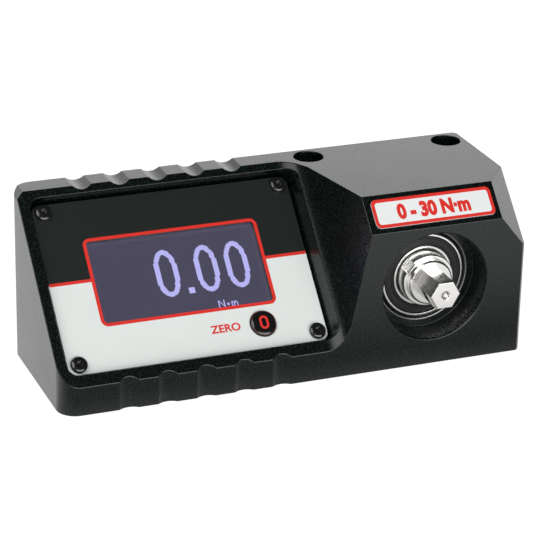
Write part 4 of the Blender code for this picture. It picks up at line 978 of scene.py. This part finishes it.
def makeShaft():
    size = shaft
    journalEnd = drive["depth"] + bearing["width"] + gap
    shoulderEnd = journalEnd + size["shoulderLength"]
    gaugeEnd = shoulderEnd + size["gaugeLength"]
    tailEnd = flangeSeat - drive["flangeBossLength"] + size["tailEngagement"]
    tail = size["tailFlats"] / math.sqrt(3) + 1
    step = size["hubDepth"] + size["hubLength"]
    bend = [math.radians(9 * i) for i in range(11)]
    front = [(size["gauge"] + size["fillet"] * (1 - math.sin(a)), shoulderEnd + size["fillet"] * (1 - math.cos(a)))
             for a in bend]
    back = [(size["gauge"] + size["fillet"] * (1 - math.cos(a)), gaugeEnd - size["fillet"] * (1 - math.sin(a)))
            for a in bend]
    chamfer = size["hubChamfer"]
    depths = [(0, size["hubDepth"]), (size["hub"] - chamfer, size["hubDepth"]), (size["hub"], size["hubDepth"] + chamfer),
              (size["hub"], step), (size["journal"] - chamfer / 2, step), (size["journal"], step + chamfer / 2),
              (size["journal"], journalEnd), (size["shoulder"], journalEnd), (size["shoulder"], shoulderEnd),
              *front, *back, (tail, gaugeEnd), (tail, gaugeEnd + 1), (0, gaugeEnd + 1)]
    piece = turned("torqueShaft", [(radius, -depth) for radius, depth in depths])
    tip = size["standOut"]
    outline = hexagonPoints(size["acrossFlats"])
    small = hexagonPoints(size["acrossFlats"], 1 - 2 * size["chamfer"] / size["acrossFlats"])
    cut(piece, prism("hexBar", outline, -size["hubDepth"] - 1, tip - size["chamfer"]), "UNION")
    cut(piece, loft("hexTip", outline, small, tip - size["chamfer"], tip), "UNION")
    cut(piece, prism("tailBar", hexagonPoints(size["tailFlats"]), -tailEnd, -gaugeEnd), "UNION")
    hole = size["centreHole"]
    drill = [(0, tip - size["centreDepth"] - 0.6 * hole), (hole, tip - size["centreDepth"]), (hole, tip - 0.45),
             (hole + 1.45, tip + 1), (0, tip + 1)]
    cut(piece, turned("drill", drill, 48))
    half = size["slotWidth"] / 2
    radius = size["journal"]
    slotShape = [(radius - size["slotDepth"], -half), (radius + 1, -half), (radius + 1, half),
                 (radius - size["slotDepth"], half)]
    slotCutter = prism("slotCutter", slotShape, -drive["depth"] + gap, -step + 1)
    cut(piece, moved(slotCutter, Matrix.Rotation(math.radians(size["slotAngle"]), 4, "Z")))
    softened(piece, 0.12)
    placed(piece, driveFrame, finishes["nickel"], "drive", ["drive_shaft"])
    print("torque shaft: done")


# Anchor flange at the back

flangeScrew = dict(head=3.4, headHeight=3.6, socket=3.0, web=1.6)


def makeAnchor():
    size = drive
    seat = flangeSeat + gap
    front = flangeSeat - size["flangeBossLength"]
    chamfer = shaft["hubChamfer"]
    depths = [(0, front), (size["flangeBoss"], front), (size["flangeBoss"], seat), (size["flange"], seat),
              (size["flange"], bodyDepth - chamfer), (size["flange"] - chamfer, bodyDepth), (0, bodyDepth)]
    plate = turned("anchorPlate", [(radius, -depth) for radius, depth in depths])
    tailEnd = front + shaft["tailEngagement"]
    cut(plate, prism("tailSocket", hexagonPoints(shaft["tailFlats"] + 2 * gap), -tailEnd - gap, -front + 1))
    web = seat + flangeScrew["web"]
    shank, head = size["screwRadius"] + gap, flangeScrew["head"] + gap
    bore = [(0, seat - 1), (shank, seat - 1), (shank, web), (head, web), (head, bodyDepth + 1), (0, bodyDepth + 1)]
    bores = [moved(turned("flangeBore", [(radius, -depth) for radius, depth in bore], 40),
                   Matrix.Translation((*spot, 0))) for spot in flangeScrewSpots()]
    cut(plate, joined("flangeBores", bores))
    softened(plate, 0.18)
    placed(plate, driveFrame, finishes["flange"], "housing", ["anchor_flange"])

    under = web + gap
    top = under + flangeScrew["headHeight"]
    end = seat - size["screwLength"] + 2 * gap
    profile = [(0, end), (size["screwRadius"], end), (size["screwRadius"], under), (flangeScrew["head"], under),
               (flangeScrew["head"], top), (0, top)]
    for i, spot in enumerate(flangeScrewSpots()):
        bolt = turned(f"anchorBolt{i + 1}", [(radius, -depth) for radius, depth in profile], 40)
        cut(bolt, prism("key", hexagonPoints(flangeScrew["socket"]), -top - 1, -top + flangeScrew["headHeight"] / 2))
        moved(softened(bolt, 0.15), Matrix.Translation((*spot, 0)))
        placed(bolt, driveFrame, finishes["blackSteel"], "housing", [f"anchor_screw_{i + 1}"])
    print("anchor flange: done")


# Base plate and supply inlet

def makeBase():
    size = bossSizes
    plate = prism("basePlate", roundedBox(housingSizes["wall"] + gap, housingSizes["frontWall"] + gap,
                                          housingSizes["hollowRight"] - gap, bodyDepth - housingSizes["wall"] - gap,
                                          0.8, 4), 0, size["plate"])
    head, shank = 2.9, size["screwRadius"]
    sink = [(0, -1), (head + gap + 1, -1), (shank + gap, head - shank), (shank + gap, 2 * size["plate"]),
            (0, 2 * size["plate"])]
    cut(plate, joined("sinks", [moved(turned("sink", sink, 40), Matrix.Translation((*spot, 0)))
                                for spot in bossSpots()]))
    placed(softened(plate, 0.12, 1), cornerFrame, finishes["sheet"], "housing", ["base_plate"])
    low = 0.15
    profile = [(0, low), (head, low), (shank, low + head - shank), (shank, size["screwLength"]), (0, size["screwLength"])]
    for i, spot in enumerate(bossSpots()):
        screw = turned(f"baseScrew{i + 1}", profile, 40)
        cut(screw, prism("key", hexagonPoints(2.0), -1, low + 1.1))
        moved(softened(screw, 0.08, 1), Matrix.Translation((*spot, 0)))
        placed(screw, cornerFrame, finishes["zinc"], "housing", [f"base_screw_{i + 1}"])
    print("base plate: done")


def makeInlet():
    size = inlet
    rim = size["rimThickness"]
    profile = [(0, -size["length"]), (size["neck"], -size["length"]), (size["neck"], -rim), (size["rim"], -rim),
               (size["rim"], 0), (size["bore"], 0), (size["bore"], -size["boreDepth"]), (0, -size["boreDepth"])]
    placed(softened(turned("inletSocket", profile, 64), 0.2), inletFrame, finishes["blackPlastic"], "housing",
           ["supply_inlet"])
    pin = rod("inletPin", size["pin"], -size["boreDepth"] + gap, -rim, steps=40)
    placed(softened(pin, 0.2), inletFrame, finishes["nickel"], "housing", ["inlet_pin"])
    print("supply inlet: done")


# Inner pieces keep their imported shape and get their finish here

innerFinishes = dict(
    lcd_backlight="whitePlastic", main_board="board", board_standoff="zinc", board_screw="zinc",
    zero_switch="blackPlastic", switch_plunger="whitePlastic", bearing_cage="brass", bearing_ball="bearing",
    strain_gauge="foil", inlet_nut="nickel", gauge_connector="whitePlastic", supply_connector="whitePlastic",
    gauge_lead="lead", supply_lead="lead")


def finishInnerPieces():
    for name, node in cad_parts.items():
        for start, finish in innerFinishes.items():
            if name.startswith(start):
                node.data.materials.clear()
                node.data.materials.append(finishes[finish])
                node.data.shade_smooth()
                node.data.set_sharp_from_angle(angle=math.radians(32))
    print("inner pieces: finished")


makeHousing()
makePanel()
makePanelScrews()
makeDisplay()
makeButton()
makeLabel()
makeBearing()
makeShaft()
makeAnchor()
makeBase()
makeInlet()
finishInnerPieces()


# Camera, as fitted to the photograph's corners

view = dict(azimuth=-22.052, elevation=23.113, roll=1.343, distance=0.866123, focal=2438.791, frameWidth=550,
            target=(87, 27, 34), offset=(-0.465, 3.37))


def makeCamera():
    azimuth, elevation, roll = (math.radians(view[key]) for key in ("azimuth", "elevation", "roll"))
    back = Vector((math.sin(azimuth) * math.cos(elevation), -math.cos(azimuth) * math.cos(elevation),
                   math.sin(elevation)))
    level = Vector((math.cos(azimuth), math.sin(azimuth), 0))
    upright = back.cross(level)
    right = math.cos(roll) * level + math.sin(roll) * upright
    up = -math.sin(roll) * level + math.cos(roll) * upright
    target = cornerFrame @ (Vector(view["target"]) * mm)
    spot = target + back * view["distance"] - (right * view["offset"][0] + up * view["offset"][1]) * mm
    data = bpy.data.cameras.new("photoCamera")
    data.sensor_width = 36.0
    data.lens = view["focal"] * data.sensor_width / view["frameWidth"]
    data.clip_start = 0.01
    camera = bpy.data.objects.new("photoCamera", data)
    camera.matrix_world = Matrix((right, up, back)).transposed().to_4x4()
    camera.matrix_world.translation = spot
    bpy.context.scene.collection.objects.link(camera)
    bpy.context.scene.camera = camera


# Studio: white sweep, soft boxes behind and beside, a key from the front left; the sweep's glow in reflections carries
# painted shade and painted light

studio = dict(
    floorColour=0.4, floorSeen=0.87, 
    # all but camera rays see a painted floor glow: a painted shadow just in front of the object, a dimmer painted
    # shade further in front, and painted light behind it
    floorPaintedShadow=0.03, floorFront=0.72, floorBack=1.0, nearTurn=(-0.05, -0.11), backTurn=(-0.045, -0.015), surround=0.05,
    boxes=(
        dict(name="backBox", at=(0.3, 1.6, 0.5), size=(3.0, 0.9), power=15.5),
        dict(name="rightBox", at=(1.45, 0.6, 0.3), size=(1.2, 0.6), power=4.4),
        dict(name="topKey", at=(-0.8, -0.48, 1.12), size=(1.1, 1.1), power=11),
        dict(name="frontKey", at=(0.12, -1.32, 0.42), size=(1.3, 0.8), power=13.5),
    ),
)


def makeStudio():
    scene = bpy.context.scene
    scene.view_settings.view_transform = "Standard"
    floorMesh = bpy.data.meshes.new("floor")
    half = 1.3
    floorMesh.from_pydata([(-half, -half, 0), (half, -half, 0), (half, half, 0), (-half, half, 0)], [], [(0, 1, 2, 3)])
    floor = bpy.data.objects.new("floor", floorMesh)
    scene.collection.objects.link(floor)
    floor.location.z = -0.2 * mm
    look = Finish("floor", colour=(studio["floorColour"],) * 3, roughness=0.9, specular=0.0)
    look.paint(glowStrength=1.0)
    seen = look.node("LightPath", output="Is Camera Ray")
    split = look.node("SeparateXYZ", sockets={"Vector": look.place()}).socket.node
    along = Signal(look.tree, split.outputs["Y"])
    # painted shadow close in front of the object, blending out to the painted shade further in front and the painted
    # light behind
    shown = (studio["floorPaintedShadow"],) * 3
    for level, (start, end) in (("floorFront", studio["nearTurn"]), ("floorBack", studio["backTurn"])):
        amount = look.node("Clamp", sockets={"Value": (along - start) / (end - start)})
        shown = look.blend(amount, shown, (studio[level],) * 3)
    look.paint(glow=look.blend(seen, shown, (studio["floorSeen"],) * 3))
    floorMesh.materials.append(look.material)

    world = bpy.data.worlds.new("studio")
    scene.world = world
    world.use_nodes = True
    tree = world.node_tree
    background = tree.nodes["Background"]
    path = tree.nodes.new("ShaderNodeLightPath")
    shown = Signal(tree, path.outputs["Is Camera Ray"])
    background.inputs["Color"].default_value = (1, 1, 1, 1)
    feed(tree, background.inputs["Strength"], shown * (1 - studio["surround"]) + studio["surround"])
    for box in studio["boxes"]:
        data = bpy.data.lights.new(box["name"], "AREA")
        data.shape = "RECTANGLE"
        data.size, data.size_y = box["size"]
        data.energy = box["power"]
        lamp = bpy.data.objects.new(box["name"], data)
        lamp.location = box["at"]
        aim = Vector((0, 0, 0.03)) - Vector(box["at"])
        lamp.rotation_euler = aim.to_track_quat("-Z", "Y").to_euler()
        scene.collection.objects.link(lamp)


makeCamera()
makeStudio()
print("camera and studio: set")
